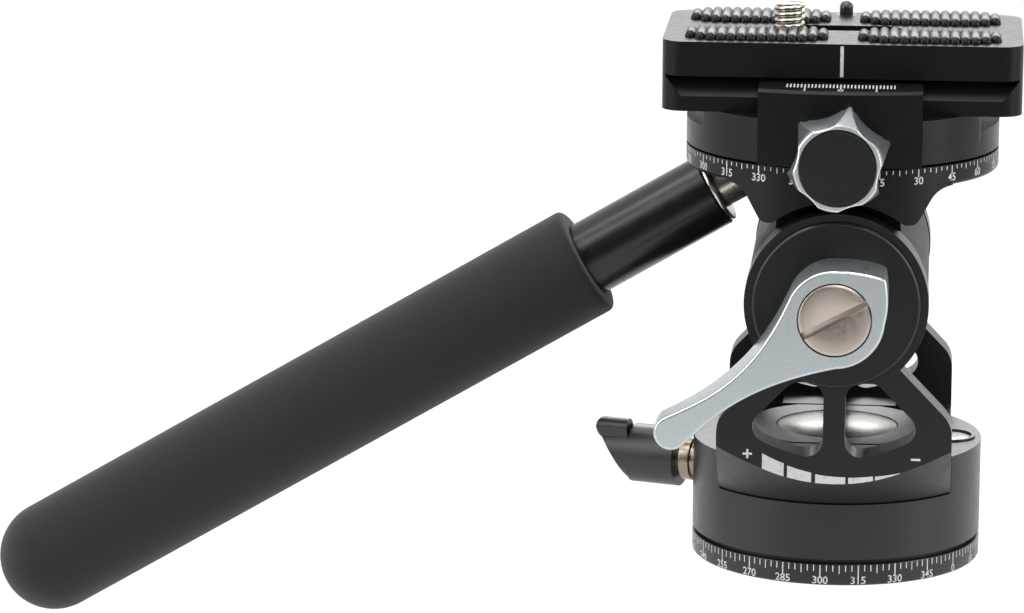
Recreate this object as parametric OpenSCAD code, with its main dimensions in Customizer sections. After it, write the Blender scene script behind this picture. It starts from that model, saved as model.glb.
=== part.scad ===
// Compact fluid video head: pan base, tilt drum with drag lever, panning clamp and quick-release plate.
// The origin is the centre of the base's underside. +Z is up, +X is the way the lens points,
// and the drag lever and the clamp knob are on the -Y side.

/* [Base] */
// Radius of the base dial and of the pan housing
base_r = 30; // [29:0.5:33]
// Height of the base dial
base_h = 4.6; // [4:0.2:6]
// Radius of the tripod thread's bore
tripod_r = 3.97; // [3.6:0.01:4.2]
// Depth of the tripod thread
tripod_depth = 12; // [9:0.5:14]
// Wall of the threaded bush
bush_wall = 2.4; // [1.8:0.2:2.8]
// Radius of the pan spindle
spindle_r = 9; // [8.8:0.1:9.6]
// Radius of the spindle's flange
flange_r = 13; // [12:0.5:15]
// Height of the spindle's flange
flange_h = 2; // [1.5:0.1:2.5]
// Height of the friction washer under the housing
pan_washer_h = 0.9; // [0.6:0.1:1.2]

/* [Pan housing] */
// Height of the pan housing
housing_h = 19.45; // [18:0.05:22]
// Height of the round boss between the uprights
boss_h = 2; // [1.6:0.1:2.6]
// Radius of the boss
boss_r = 19; // [17:0.5:20]
// Radius of the domed cap
cap_r = 12.7; // [12:0.1:14]
// Edge height of the domed cap
cap_h = 1.4; // [1.2:0.1:1.6]
// Rise of the cap's dome
dome_h = 1.0; // [0.6:0.1:1.1]
// Radius of the spindle nut
nut_r = 10.5; // [9.5:0.1:11]
// Height of the spindle nut
nut_h = 3.4; // [2.5:0.1:4]
// Distance from the middle to the level's centre
level_x = 23.4; // [22.5:0.1:23.6]
// Outer radius of the level's bezel
level_r = 5.4; // [4.8:0.1:5.6]
// Wall of the level's bezel
bezel_wall = 0.7; // [0.5:0.1:1]
// Depth of the level in the housing
level_depth = 3; // [2:0.2:5]

/* [Pan lock] */
// Height of the lock's axis above the housing's underside
lock_rise = 10.9; // [10:0.05:11.5]
// Angle of the lock's axis behind the left side, in degrees
lock_turn = 18; // [0:1:22]
// Radius of the lock stud
stud_r = 3.9; // [3:0.1:4]
// Length of stud that shows between the housing and the knob
stud_show = 4.8; // [3:0.1:8]
// Radius of the brake shoe
shoe_r = 2; // [1.5:0.1:2]
// Radius of the knob's hub
lock_hub_r = 6.2; // [5.5:0.1:7]
// Length of the knob's hub
lock_hub_l = 10.5; // [9:0.2:12]
// How far the knob's wing flares out past the hub
wing_flare = 7.4; // [5:0.2:9]
// Width of the wing along the lock's axis
wing_w = 5.6; // [5:0.2:8]
// Height of the wing's tip above the lock's axis
wing_rise = 5.8; // [5:0.1:8]
// How far the wing's tip stands in front of the lock's axis
wing_fore = 2.5; // [0:0.1:3]
// Radius of the bead on the wing's tip
bead_r = 1.95; // [1.8:0.05:2.6]

/* [Uprights] */
// Height of the tilt axis above the housing's top
tilt_rise = 35; // [33:0.5:40]
// How far an upright's outer face stands out past the base
face_out = 5.5; // [4:0.5:8]
// Thickness of an upright
upright_t = 8; // [7:0.5:9]
// Radius of an upright's round top
upright_r = 18.6; // [17.5:0.1:19]
// Width of an upright's foot
foot_w = 47.6; // [44:0.4:47.6]
// Depth of the foot in the housing
foot_h = 7.5; // [6:0.5:9]
// Distance from the middle to the foot's inner face
foot_y = 18; // [18:0.2:19]
// Height of the foot's shoulder above the housing's top
shoulder_rise = 10.8; // [8:0.1:12]
// Length of the shoulder's rounding along each side
shoulder_round = 2.6; // [1:0.1:4]
// Width of the tongue beside the boss
tongue_w = 24; // [20:1:26]
// Width of the rib between the windows
rib_w = 4.4; // [3:0.2:6]
// Radius about the tilt axis of the windows' lower edge
window_r = 32; // [29:0.5:32.5]
// Height of a window's top above the housing's top
window_rise = 18.9; // [15:0.1:19.6]
// Corner radius of a window
window_fillet = 3.3; // [1:0.1:3.6]
// Radius of the round caps on the uprights
face_cap_r = 17; // [15:0.5:17.5]
// Thickness of the round caps
face_cap_t = 1; // [0.8:0.1:1.6]
// Radius of the upright screws
screw_r = 2; // [1.5:0.25:2.5]
// Distance from the middle to an upright screw, along X
screw_x = 11; // [10:0.5:12]
// Distance from the middle to an upright screw, along Y
screw_y = 22; // [21.5:0.5:22.5]

/* [Tilt] */
// Radius of the tilt shaft
shaft_r = 5; // [4.5:0.1:5.5]
// Wall of the tilt bushes
tilt_bush_wall = 1.5; // [1:0.1:2]
// Length of a tilt bush
tilt_bush_l = 12; // [8:1:16]
// Radius of the tilt drum
drum_r = 18.4; // [17:0.1:18.8]
// Thickness of a friction disc
disc_t = 0.8; // [0.5:0.1:1.2]
// Gap between an upright's round top and the bracket above it
drum_gap = 1.7; // [1.2:0.1:2]
// Radius of the shaft's rear head
shaft_head_r = 8; // [7:0.5:10]
// Length of the shaft's rear head
shaft_head_l = 3; // [2:0.5:5]
// Width across the flats of the hexagon socket in the shaft's head
socket_af = 6; // [4:0.5:7]

/* [Upper ring] */
// Radius of the upper dial ring and of the clamp body
ring_r = 32.2; // [31.5:0.1:33]
// Height of the ring's top above the tilt axis
ring_rise = 26.9; // [26.5:0.1:29]
// Height of the ring
ring_h = 4.3; // [3.6:0.1:4.6]
// Radius of the ring's lower edge
ring_edge = 1; // [0.5:0.1:1.5]
// Half width of the bracket where it meets the ring
neck_top = 20; // [18:0.2:21]
// Half width of the bracket over the drum
neck_w = 16.3; // [15:0.1:16.8]
// Half width of the bracket's web between the drum and the ring
web_w = 12.6; // [11:0.1:13]
// Radius of the fillet between the bracket and the ring
neck_fillet = 5; // [3:0.2:5.4]

/* [Handle] */
// Distance from the tilt axis to the inner end of the tube, along X
handle_reach = 26.6; // [26.4:0.1:30]
// Distance from the upper ring's top down to that end
handle_drop = 11.9; // [11.9:0.1:14]
// Place of the handle along Y
handle_y = 8; // [4:0.5:12]
// Slope of the handle
handle_slope = 30.5; // [28:0.5:33]
// Radius of the tube
tube_r = 7.9; // [7.4:0.1:8]
// Wall of the tube
tube_wall = 1.5; // [1:0.1:2]
// Length of tube that shows
tube_show = 30.8; // [25:0.1:40]
// Radius of the foam grip
grip_r = 11.75; // [11:0.05:13]
// Length of the foam grip
grip_l = 144.5; // [120:0.5:160]
// Length of tube inside the grip
tube_in = 126; // [90:1:126]
// Radius of the handle stud's thread
handle_stud_r = 3; // [2.5:0.1:3]
// Radius of the stud's neck
handle_neck_r = 4.6; // [3.3:0.1:5]
// Length of the stud's thread in the bracket
handle_thread = 6; // [4:0.2:6]

/* [Drag lever] */
// Radius of the lever's hub
hub_r = 10; // [9:0.1:10.5]
// Thickness of the hub
hub_t = 13.7; // [12:0.1:15]
// Thickness of the arm at its tip
tip_t = 8; // [6:0.1:9]
// Place of the tip's centre from the tilt axis, along X
tip_x = -32.2; // [-36:0.1:-28]
// Place of the tip's centre from the tilt axis, along Z
tip_z = -23.8; // [-26:0.1:-21]
// Radius of the tip
tip_r = 3.5; // [2.6:0.1:3.6]
// Radius of the slotted screw's head
lever_screw_r = 7.3; // [6.5:0.1:7.5]
// Height of the slotted screw's head
lever_screw_h = 2.5; // [2:0.1:4]
// Radius of the slotted screw's thread
lever_thread_r = 3; // [2:0.1:3.2]
// Length of the lever screw's shank
lever_thread_l = 8; // [6:0.5:10]
// Width of the screw's slot
slot_w = 1.5; // [1:0.1:2]
// Angle of the screw's slot
slot_angle = 28; // [0:1:90]

/* [Clamp] */
// Gap between the upper ring and the clamp
clamp_gap = 0.5; // [0.4:0.1:0.8]
// Height of the clamp under the plate
clamp_h = 9; // [8.8:0.1:10]
// Height of the ledges beside the clamp's flats
ledge_h = 5.2; // [4:0.1:6]
// Distance from the middle to the clamp's flats
flat_x = 28.4; // [26:0.1:30]
// Radius of the pivot bolt's shoulder
pivot_r = 6; // [5:0.1:6]
// Radius of the pivot bolt's head
pivot_head_r = 9; // [8:0.1:10]
// Height of the pivot bolt's head
pivot_head_h = 2.6; // [2:0.1:3]
// Radius of the pivot bolt's thread
pivot_thread_r = 4; // [3:0.1:4.5]
// Length of the pivot bolt's thread
pivot_thread_l = 12; // [8:0.5:14]
// Half width of the jaws
jaw_w = 16.5; // [15:0.1:18]
// How far the jaw's front stands out past the upper ring
jaw_lip = 1; // [0.6:0.1:1.8]
// Radius of the jaw's rounded front
jaw_front_r = 66; // [50:1:90]
// Gap that the jaw closes over when it grips
jaw_grip = 0.9; // [0.6:0.1:1.2]
// Depth of the chamfer along a jaw's top edge
jaw_chamfer = 0.6; // [0.3:0.1:1]
// Distance from the middle to a guide pin
guide_x = 12; // [11:0.1:13]
// Radius of a guide pin
guide_r = 1.5; // [1.2:0.1:1.8]
// Height of the guide pins above the clamp's underside
guide_rise = 4.6; // [4.2:0.1:5]
// Outer radius of a jaw spring
spring_r = 2.5; // [2.3:0.1:2.8]
// Wire radius of a jaw spring
spring_wire = 0.25; // [0.2:0.05:0.3]
// Turns of a jaw spring
spring_turns = 6; // [4:1:7]
// Depth of a spring's pocket
spring_pocket = 6.5; // [5:0.5:8]

/* [Clamp knob] */
// Height of the clamp screw's axis above the clamp's underside
knob_rise = 2.6; // [2.5:0.1:3]
// Radius of the clamp screw
clamp_screw_r = 2; // [1.6:0.1:2]
// Radius of the star's points at the back
star_r = 10.8; // [10:0.1:12]
// Radius of the star's points at the front
star_front_r = 8.95; // [8.6:0.05:9.6]
// Length of the star knob
star_l = 13.6; // [11:0.1:16]
// Length of the bevel at the back of the points
star_bevel = 2.4; // [2:0.1:3]
// Points of the star
star_points = 6; // [5:1:8]
// Turn of the star about its axis
star_turn = 18.5; // [0:0.5:60]
// Radius of the flutes between the points
flute_r = 12; // [10:0.5:20]
// Distance from the axis to the bottom of a flute
flute_in = 8.3; // [8.1:0.05:8.6]
// Radius of the knob's cap
knob_cap_r = 7.8; // [7:0.1:7.8]
// Thickness of the knob's cap
knob_cap_t = 1; // [0.8:0.1:1.5]

/* [Plate] */
// Length of the plate
plate_l = 73; // [68:0.2:80]
// Width of the plate
plate_w = 42.4; // [39:0.1:44]
// Height of the plate
plate_h = 14.25; // [13:0.05:15.5]
// Corner radius of the plate
plate_corner = 4.5; // [3:0.1:6]
// Height of the slab above the dovetail groove
slab_h = 7.05; // [6:0.05:7.6]
// Height of the flange under the dovetail groove
flange_edge = 3.1; // [2.6:0.1:3.4]
// Solid length left at each end of the groove
groove_end = 4; // [3:0.1:6]
// Length of a rubber pad
pad_l = 29.3; // [26:0.1:30]
// Width of a rubber pad
pad_w = 13.2; // [9:0.1:13.6]
// Distance between the pads along the plate
pad_gap = 5.8; // [4:0.1:8]
// Distance from the plate's side to a pad's centre line
pad_edge = 9.4; // [9:0.1:10]
// Depth of the pads in the plate
pad_sink = 0.8; // [0.5:0.1:1.2]
// Height of the pads' ribs above the plate
pad_rise = 1.4; // [0.8:0.1:1.8]
// Pitch of the pads' ribs
rib_pitch = 2.25; // [1.5:0.05:3]

/* [Camera screw] */
// Radius of the camera screw's thread
camera_r = 3.175; // [3:0.005:3.2]
// Radius of the camera screw's plain shank
camera_neck_r = 2.5; // [2.2:0.1:2.6]
// Height of the camera screw above the plate
camera_rise = 5.2; // [4:0.1:6]
// Place of the camera screw along X
camera_x = -11.3; // [-12:0.1:-9]
// Travel of the camera screw in its slot
camera_travel = 19.5; // [10:0.5:20]
// Radius of the camera screw's head
camera_head_r = 6.6; // [6:0.1:7]
// Height of the camera screw's head
camera_head_h = 4; // [3:0.1:4.4]
// Thickness of the retaining washer
retainer_t = 1.2; // [0.8:0.1:1.6]

/* [Video pin] */
// Radius of the video pin
pin_r = 1.4; // [1.2:0.1:1.5]
// Height of the video pin above the plate
pin_rise = 2.9; // [2.6:0.1:4.5]
// Distance from the plate's rear side to the video pin
pin_edge = 2.7; // [2.6:0.1:3.2]
// Radius of the pin's collar
pin_collar_r = 1.9; // [1.8:0.05:2]
// Thickness of the pin's collar
pin_collar_t = 0.8; // [0.6:0.1:1]
// Depth of the pin's chamber under the plate's top
pin_chamber = 5.8; // [5:0.1:5.8]
// Height of the pin's bush
pin_bush_h = 1.4; // [1:0.1:1.6]

/* [Fits] */
// Gap between pieces that turn or slide on each other
run_gap = 0.05; // [0.03:0.01:0.1]
// Gap between pieces that are fixed in each other
fit_gap = 0.02; // [0.01:0.01:0.04]
// Free space round pieces that only pass by each other
pass_gap = 0.3; // [0.2:0.05:0.4]

/* [Hidden] */
$fn = 96;
// Overshoot of cutting tools
cut = 1;
// Levels from the base upwards
bush_r = tripod_r + bush_wall;
housing_z0 = base_h + pan_washer_h + run_gap;
housing_z1 = housing_z0 + housing_h;
boss_z1 = housing_z1 + boss_h;
foot_z = housing_z1 - foot_h;
boss_y = foot_y - 1;
nut_z0 = boss_z1 - cap_h - nut_h - 1;
spindle_z1 = nut_z0 + run_gap;
lock_z = housing_z0 + lock_rise;
lock_x = -base_r - stud_show;
shoe_x = spindle_r + 8;
tilt_z = housing_z1 + tilt_rise;
shoulder_z = housing_z1 + shoulder_rise;
face_y = base_r + face_out;
inner_y = face_y - upright_t;
drum_y = inner_y - disc_t - run_gap;
tilt_bush_r = shaft_r + run_gap + tilt_bush_wall;
lever_back = face_y + face_cap_t + run_gap;
lever_front = lever_back + hub_t;
ring_z1 = tilt_z + ring_rise;
ring_z0 = ring_z1 - ring_h;
arc_r = upright_r + drum_gap;
clamp_z0 = ring_z1 + clamp_gap;
clamp_z1 = clamp_z0 + clamp_h;
pivot_z = clamp_z1 - pivot_head_h - 0.8;
guide_z = clamp_z0 + guide_rise;
knob_z = clamp_z0 + knob_rise;
jaw_z0 = clamp_z0 + run_gap;
// The dovetail's flank is the line where distance from the middle and height add up to flank
plate_z0 = clamp_z1 + run_gap;
plate_z1 = plate_z0 + plate_h;
slab_z = plate_z1 - slab_h;
pad_y = plate_w / 2 - pad_edge;
pin_y = plate_w / 2 - pin_edge;
flank_z = plate_z0 + flange_edge;
flank = plate_w / 2 + flank_z;
groove_y = flank - slab_z;
jaw_flank = flank + run_gap * sqrt(2);
jaw_in = plate_w / 2 + pass_gap;
jaw_z1 = slab_z - 0.7;
slot_y = jaw_in - jaw_grip;
jaw_y = ring_r + jaw_lip;
star_back = jaw_y + pass_gap;
star_front = star_back + star_l;
camera_slot = camera_r + 0.2;
retainer_r = camera_head_r;
web_z = slab_z + 0.3;
pin_z0 = plate_z1 - pin_chamber;
pin_bush_r = pin_collar_r + 0.2;
pin_collar_z = plate_z1 - pin_bush_h - run_gap - pin_collar_t;

function bezier(a, b, c, d, steps) = [for (i = [0 : steps]) let (t = i / steps, s = 1 - t)
  a * s * s * s + b * 3 * s * s * t + c * 3 * s * t * t + d * t * t * t];

// Points of a helical tube along +Z, ring by ring, six sides to a ring
function coil_rings(r, wire, length, turns) = let (steps = 8 * turns)
  [for (i = [0 : steps]) [for (k = [0 : 5])
    let (a = 360 * i / 8, q = r - wire + wire * cos(60 * k))
      [q * cos(a), q * sin(a), wire + (length - 2 * wire) * i / steps + wire * sin(60 * k)]]];

module coil(r, wire, length, turns) {
  rings = coil_rings(r, wire, length, turns);
  last = len(rings) - 1;
  points = [for (ring = rings, p = ring) p];
  sides = [for (i = [0 : last - 1], k = [0 : 5]) let (a = 6 * i + k, b = 6 * i + (k + 1) % 6)
    each [[a, a + 6, b], [b, a + 6, b + 6]]];
  ends = [for (k = [1 : 4]) each [[0, k, k + 1], [6 * last, 6 * last + k + 1, 6 * last + k]]];
  polyhedron(points, concat(sides, ends), convexity = 10);
}

// A cylinder along Y from one distance in front of the middle to another
module front_rod(r, y0, y1) {
  translate([0, -y0, 0]) rotate([90, 0, 0]) cylinder(r = r, h = y1 - y0);
}

// An outline in X and Z, made solid from one distance in front of the middle to another
module front_slab(y0, y1) {
  translate([0, -y0, 0]) rotate([90, 0, 0]) linear_extrude(y1 - y0) children();
}

module ring(r_in, r_out, h) {
  difference() {
    cylinder(r = r_out, h = h);
    translate([0, 0, -cut]) cylinder(r = r_in, h = h + 2 * cut);
  }
}

module stadium(length, width) {
  for (s = [-1, 1]) translate([s * (length - width) / 2, 0]) circle(d = width);
  square([length - width, width], center = true);
}

module at_upright_screws() {
  for (x = [-1, 1], y = [-1, 1]) translate([x * screw_x, y * screw_y, 0]) children();
}

// Base
module base_dial() {
  edge = 0.5;
  color("#1c1c1e") difference() {
    union() {
      cylinder(r1 = base_r - edge, r2 = base_r, h = edge);
      translate([0, 0, edge]) cylinder(r = base_r, h = base_h - edge);
    }
    translate([0, 0, -cut]) cylinder(r = spindle_r + fit_gap, h = base_h + 2 * cut);
    translate([0, 0, base_h - flange_h]) cylinder(r = flange_r + fit_gap, h = flange_h + cut);
  }
}

module tripod_bush() {
  color("silver") ring(tripod_r, bush_r, tripod_depth);
}

module pan_spindle() {
  color("gray") difference() {
    union() {
      cylinder(r = spindle_r, h = spindle_z1);
      translate([0, 0, base_h - flange_h]) cylinder(r = flange_r, h = flange_h);
      cylinder(r = bush_r, h = spindle_z1 + nut_h);
    }
    translate([0, 0, -cut]) cylinder(r = bush_r + fit_gap, h = tripod_depth + fit_gap + cut);
  }
}

module pan_nut() {
  color("gray") translate([0, 0, spindle_z1]) ring(bush_r + fit_gap, nut_r, nut_h);
}

module pan_washer() {
  color("#101010") translate([0, 0, base_h]) ring(flange_r + 1, base_r - 1.2, pan_washer_h);
}

// Pan housing
module lock_axis() {
  rotate(-lock_turn) translate([0, 0, lock_z]) rotate([0, -90, 0]) children();
}

module pan_housing() {
  color("#222224") difference() {
    union() {
      translate([0, 0, housing_z0]) cylinder(r = base_r, h = housing_h);
      intersection() {
        translate([0, 0, housing_z0]) cylinder(r = boss_r, h = boss_z1 - housing_z0);
        translate([-boss_r, -boss_y, housing_z0]) cube([2 * boss_r, 2 * boss_y, boss_z1]);
      }
    }
    translate([0, 0, housing_z0 - cut]) cylinder(r = spindle_r + run_gap, h = housing_h + 2 * cut);
    translate([0, 0, nut_z0]) cylinder(r = nut_r + 1, h = boss_z1);
    translate([0, 0, boss_z1 - cap_h]) cylinder(r = cap_r + fit_gap, h = cap_h + cut);
    for (s = [0, 180]) rotate(s) translate([-base_r - cut, -base_r - foot_y, foot_z])
      cube([2 * base_r + 2 * cut, base_r, foot_h + boss_h + cut]);
    lock_axis() translate([0, 0, shoe_x]) cylinder(r = stud_r + run_gap, h = base_r);
    lock_axis() cylinder(r = shoe_r + fit_gap, h = base_r);
    translate([level_x, 0, housing_z1 - level_depth])
      cylinder(r = level_r + fit_gap, h = level_depth + boss_h + cut);
    at_upright_screws() {
      translate([0, 0, housing_z0 - cut]) cylinder(r = screw_r + pass_gap, h = housing_h);
      translate([0, 0, housing_z0 - cut])
        cylinder(r = 1.75 * screw_r + pass_gap, h = 2 * screw_r + 2 * cut);
    }
  }
}

module pan_cap() {
  dome_sphere = (cap_r * cap_r + dome_h * dome_h) / (2 * dome_h);
  color("#cfccc6") intersection() {
    translate([0, 0, boss_z1 - cap_h]) cylinder(r = cap_r, h = cap_h + dome_h);
    translate([0, 0, boss_z1 + dome_h - dome_sphere]) sphere(r = dome_sphere);
  }
}

module brake_shoe() {
  color("goldenrod") lock_axis() translate([0, 0, spindle_r + 2 * run_gap])
    cylinder(r = shoe_r, h = shoe_x - spindle_r - 4 * run_gap);
}

module level_bezel() {
  color("#303234") translate([level_x, 0, housing_z1 - level_depth])
    ring(level_r - bezel_wall, level_r, level_depth + 0.4);
}

module level_vial() {
  color("#c9e2c4") translate([level_x, 0, housing_z1 - level_depth])
    cylinder(r = level_r - bezel_wall - fit_gap, h = level_depth + 0.25);
}

module pan_lock_stud() {
  color("#cfccc6") lock_axis() {
    translate([0, 0, shoe_x + run_gap])
      cylinder(r = stud_r, h = -lock_x - shoe_x + lock_hub_l - 2 - 2 * run_gap);
    translate([0, 0, base_r + stud_show / 3]) cylinder(r = stud_r + 0.8, h = stud_show / 2);
  }
}

// The wing's side outline: along the lock's axis, from the hub's inner end, and up from that axis
module wing_outline() {
  reach = lock_hub_l + wing_flare;
  top = wing_rise + bead_r;
  foot = lock_hub_l - pass_gap;
  neck = [reach - 1.6, wing_rise - 1.1 * bead_r];
  outer = bezier([foot, -0.9 * lock_hub_r], [foot + 1.1, -0.6 * lock_hub_r],
    [foot + 2.9, 0], neck, 8);
  end = bezier(neck, [reach + 0.2, wing_rise - 0.9 * bead_r], [reach + 0.6, top], [reach - 1.4, top], 6);
  inner = [for (i = [len(outer) - 1:-1:0]) outer[i] - [wing_w, 0]];
  polygon(concat([[foot, -2 * lock_hub_r]], outer, end, [[reach - 1.4 - wing_w, top]], inner,
    [[foot - wing_w, -2 * lock_hub_r]]));
}

// The wing's outline along the lock's axis, with the front of the head to the left
module wing_section() {
  root = lock_hub_r - pass_gap;
  front = -wing_fore - 0.95 * bead_r;
  rear = -wing_fore + 0.95 * bead_r;
  waist = wing_rise - 0.3 * bead_r;
  circle(r = root);
  translate([-wing_fore, wing_rise]) circle(r = bead_r);
  polygon(concat(
    bezier([front, waist], [front + 0.3, 0.4 * wing_rise], [-0.84 * root, 0.16 * root],
      [-0.97 * root, -0.2 * root], 8),
    [[0, -0.5 * root]],
    bezier([0.97 * root, -0.1 * root], [0.65 * root, 0.25 * root], [rear + 1, 0.5 * wing_rise],
      [rear, waist], 8)));
}

module pan_lock_knob() {
  color("#1b1b1d") rotate(-lock_turn) translate([lock_x, 0, lock_z]) mirror([1, 0, 0]) difference() {
    union() {
      rotate([0, 90, 0]) cylinder(r = lock_hub_r, h = lock_hub_l);
      intersection() {
        rotate([90, 0, 0]) translate([0, 0, -2 * lock_hub_r])
          linear_extrude(4 * lock_hub_r) wing_outline();
        rotate([90, 0, 90]) linear_extrude(lock_hub_l + 2 * wing_flare) wing_section();
      }
    }
    rotate([0, 90, 0]) translate([0, 0, -cut])
      cylinder(r = stud_r + fit_gap, h = lock_hub_l - 2 + fit_gap + cut);
  }
}

// Uprights
module upright_outline() {
  corner = [foot_w / 2, shoulder_z];
  top = [0, tilt_z] + [0.71, -0.71] * upright_r;
  low = corner - [0, shoulder_round];
  high = corner + (top - corner) * shoulder_round / norm(top - corner);
  shoulder = bezier(low, (low + 2 * corner) / 3, (high + 2 * corner) / 3, high, 5);
  for (m = [0, 1]) mirror([m, 0])
    polygon(concat([[-cut, foot_z], [foot_w / 2, foot_z]], shoulder,
      [top, [0, tilt_z], [-cut, tilt_z - cut]]));
}

module window_outline() {
  top = housing_z1 + window_rise;
  inner = rib_w / 2;
  outer = foot_w / 2 - 6;
  offset(r = window_fillet) offset(delta = -window_fillet) intersection() {
    polygon([[inner, foot_z], [inner, top], [inner + 6.4, top], [outer + 0.6, top - 10],
      [outer + 0.6, foot_z]]);
    translate([0, tilt_z]) circle(r = window_r);
  }
}

module upright() {
  cone_h = tilt_z - foot_z;
  difference() {
    union() {
      intersection() {
        translate([0, 0, foot_z]) cylinder(r1 = base_r, r2 = base_r + cone_h, h = cone_h);
        union() {
          front_slab(inner_y, face_y) upright_outline();
          translate([-foot_w / 2, -face_y, foot_z]) cube([foot_w, face_y - foot_y - fit_gap, foot_h]);
          translate([-tongue_w / 2, -face_y, foot_z])
            cube([tongue_w, face_y - foot_y - fit_gap, foot_h + boss_h]);
        }
      }
      translate([0, 0, tilt_z]) front_rod(upright_r, inner_y, face_y);
    }
    for (m = [0, 1]) mirror([m, 0, 0]) front_slab(inner_y - cut, face_y + cut) window_outline();
    translate([0, 0, tilt_z]) front_rod(shaft_r + fit_gap, inner_y - cut, face_y + cut);
    at_upright_screws() translate([0, 0, foot_z - cut])
      cylinder(r = screw_r + fit_gap, h = foot_h - 2 + cut);
  }
}

module front_upright() {
  color("#1f1f21") upright();
}

module rear_upright() {
  color("#1f1f21") mirror([0, 1, 0]) upright();
}

module upright_screws() {
  head_z = housing_z0 + 2 * screw_r + cut;
  color("gray") at_upright_screws() {
    translate([0, 0, head_z - 1.6 * screw_r]) cylinder(r = 1.75 * screw_r, h = 1.6 * screw_r);
    translate([0, 0, head_z - fit_gap]) cylinder(r = screw_r, h = foot_z - head_z + foot_h - 2);
  }
}

module face_cap() {
  translate([0, 0, tilt_z]) difference() {
    union() {
      front_rod(face_cap_r, face_y, face_y + face_cap_t * 0.6);
      translate([0, -face_y - face_cap_t * 0.6, 0]) rotate([90, 0, 0])
        cylinder(r1 = face_cap_r, r2 = face_cap_r - face_cap_t * 0.4, h = face_cap_t * 0.4);
    }
    front_rod(shaft_r + fit_gap, face_y - cut, face_y + face_cap_t + cut);
  }
}

module front_cap() {
  color("#19191b") face_cap();
}

module rear_cap() {
  color("#19191b") mirror([0, 1, 0]) face_cap();
}

module tilt_shaft() {
  front_end = lever_front - lever_screw_h - run_gap;
  rear_face = face_y + face_cap_t;
  color("#8d8d8f") translate([0, 0, tilt_z]) difference() {
    union() {
      front_rod(shaft_r, -rear_face - shaft_head_l, front_end);
      front_rod(shaft_head_r, -rear_face - shaft_head_l, -rear_face);
    }
    front_rod(lever_thread_r + fit_gap, front_end - lever_thread_l - lever_thread_r, front_end + cut);
    translate([0, rear_face + shaft_head_l + cut, 0]) rotate([90, 0, 0])
      cylinder(d = socket_af / cos(30), h = shaft_head_l + cut, $fn = 6);
  }
}

module lever_screw() {
  seat = lever_front - lever_screw_h;
  color("#c9c3b8") translate([0, 0, tilt_z]) difference() {
    union() {
      front_rod(lever_screw_r, seat, lever_front);
      front_rod(lever_thread_r, seat - lever_thread_l, seat);
    }
    rotate([0, -slot_angle, 0]) translate([-2 * lever_screw_r, -lever_front - cut, -slot_w / 2])
      cube([4 * lever_screw_r, cut + lever_screw_h / 2, slot_w]);
  }
}

// Drag lever
module lever_outline() {
  tip = [tip_x, tip_z];
  upper = bezier([-0.97, 0.28] * hub_r, [-1.71, -1.37] * hub_r, tip + [1.62, 1.91] * tip_r,
    tip + [-0.44, 0.89] * tip_r, 12);
  lower = bezier(tip + [0.73, -0.68] * tip_r, tip + [2.52, 1.07] * tip_r, [-1.74, -1.39] * hub_r,
    [0.05, -0.99] * hub_r, 12);
  circle(r = hub_r);
  polygon(concat(upper, lower, [[0, 0]]));
  translate([tip_x, tip_z]) circle(r = tip_r);
}

module drag_lever() {
  arm_l = norm([tip_x, tip_z]);
  thin = [0, tip_t - hub_t];
  taper = bezier([0.5 * arm_l, -cut], [0.75 * arm_l, -cut], [0.75 * arm_l, -cut] + thin,
    [arm_l + 2 * tip_r, -cut] + thin, 8);
  color("#aab6bd") translate([0, 0, tilt_z]) difference() {
    union() {
      front_slab(lever_back, lever_front) lever_outline();
      front_slab(lever_back, lever_front)
        polygon(hub_r * [[0.1, 0.6], [0.1, 0.9], [0.25, 1], [0.93, 0.87], [1.01, 0.8], [1.07, 0.2],
          [0.9, -0.35], [0.6, -0.3]]);
    }
    front_rod(shaft_r + run_gap, lever_back - cut, lever_front + cut);
    front_rod(lever_screw_r + run_gap, lever_front - lever_screw_h - run_gap, lever_front + cut);
    rotate([0, -atan2(tip_z, tip_x), 0]) translate([0, -lever_back + cut, -arm_l / 2])
      linear_extrude(arm_l) polygon(concat([[0.5 * arm_l, 0]], taper, [[arm_l + 2 * tip_r, 0]]));
  }
}

// Tilt bracket with the upper dial ring
module neck_outline() {
  low = [neck_w, tilt_z + arc_r * 0.8];
  dir = [neck_top - neck_w, ring_z0 - low[1]];
  run = norm(dir);
  fillet_x = neck_top + neck_fillet * (run - dir[0]) / dir[1];
  tangent = neck_fillet * (run - dir[0]) / dir[1];
  foot = [neck_top, ring_z0] - dir * tangent / run;
  for (m = [0, 1]) mirror([m, 0]) difference() {
    polygon(concat([[0, tilt_z], [neck_w - 3.2, tilt_z + arc_r * 0.7]],
      bezier(low - [2.9, 0.9], low - [1.4, 1.2], low - [0.4, 0.9], low, 6),
      [foot, [fillet_x, ring_z0], [fillet_x, ring_z0 + ring_edge], [0, ring_z0 + ring_edge]]));
    translate([fillet_x, ring_z0 - neck_fillet]) circle(r = neck_fillet);
  }
}

module on_handle() {
  translate([-handle_reach, handle_y, ring_z1 - handle_drop])
    rotate([0, 90 - handle_slope, 0]) children();
}

// Length of the handle stud's neck from the tube's end to the bracket's side
neck_l = (handle_reach - neck_w - 1.4) / cos(handle_slope);

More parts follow.
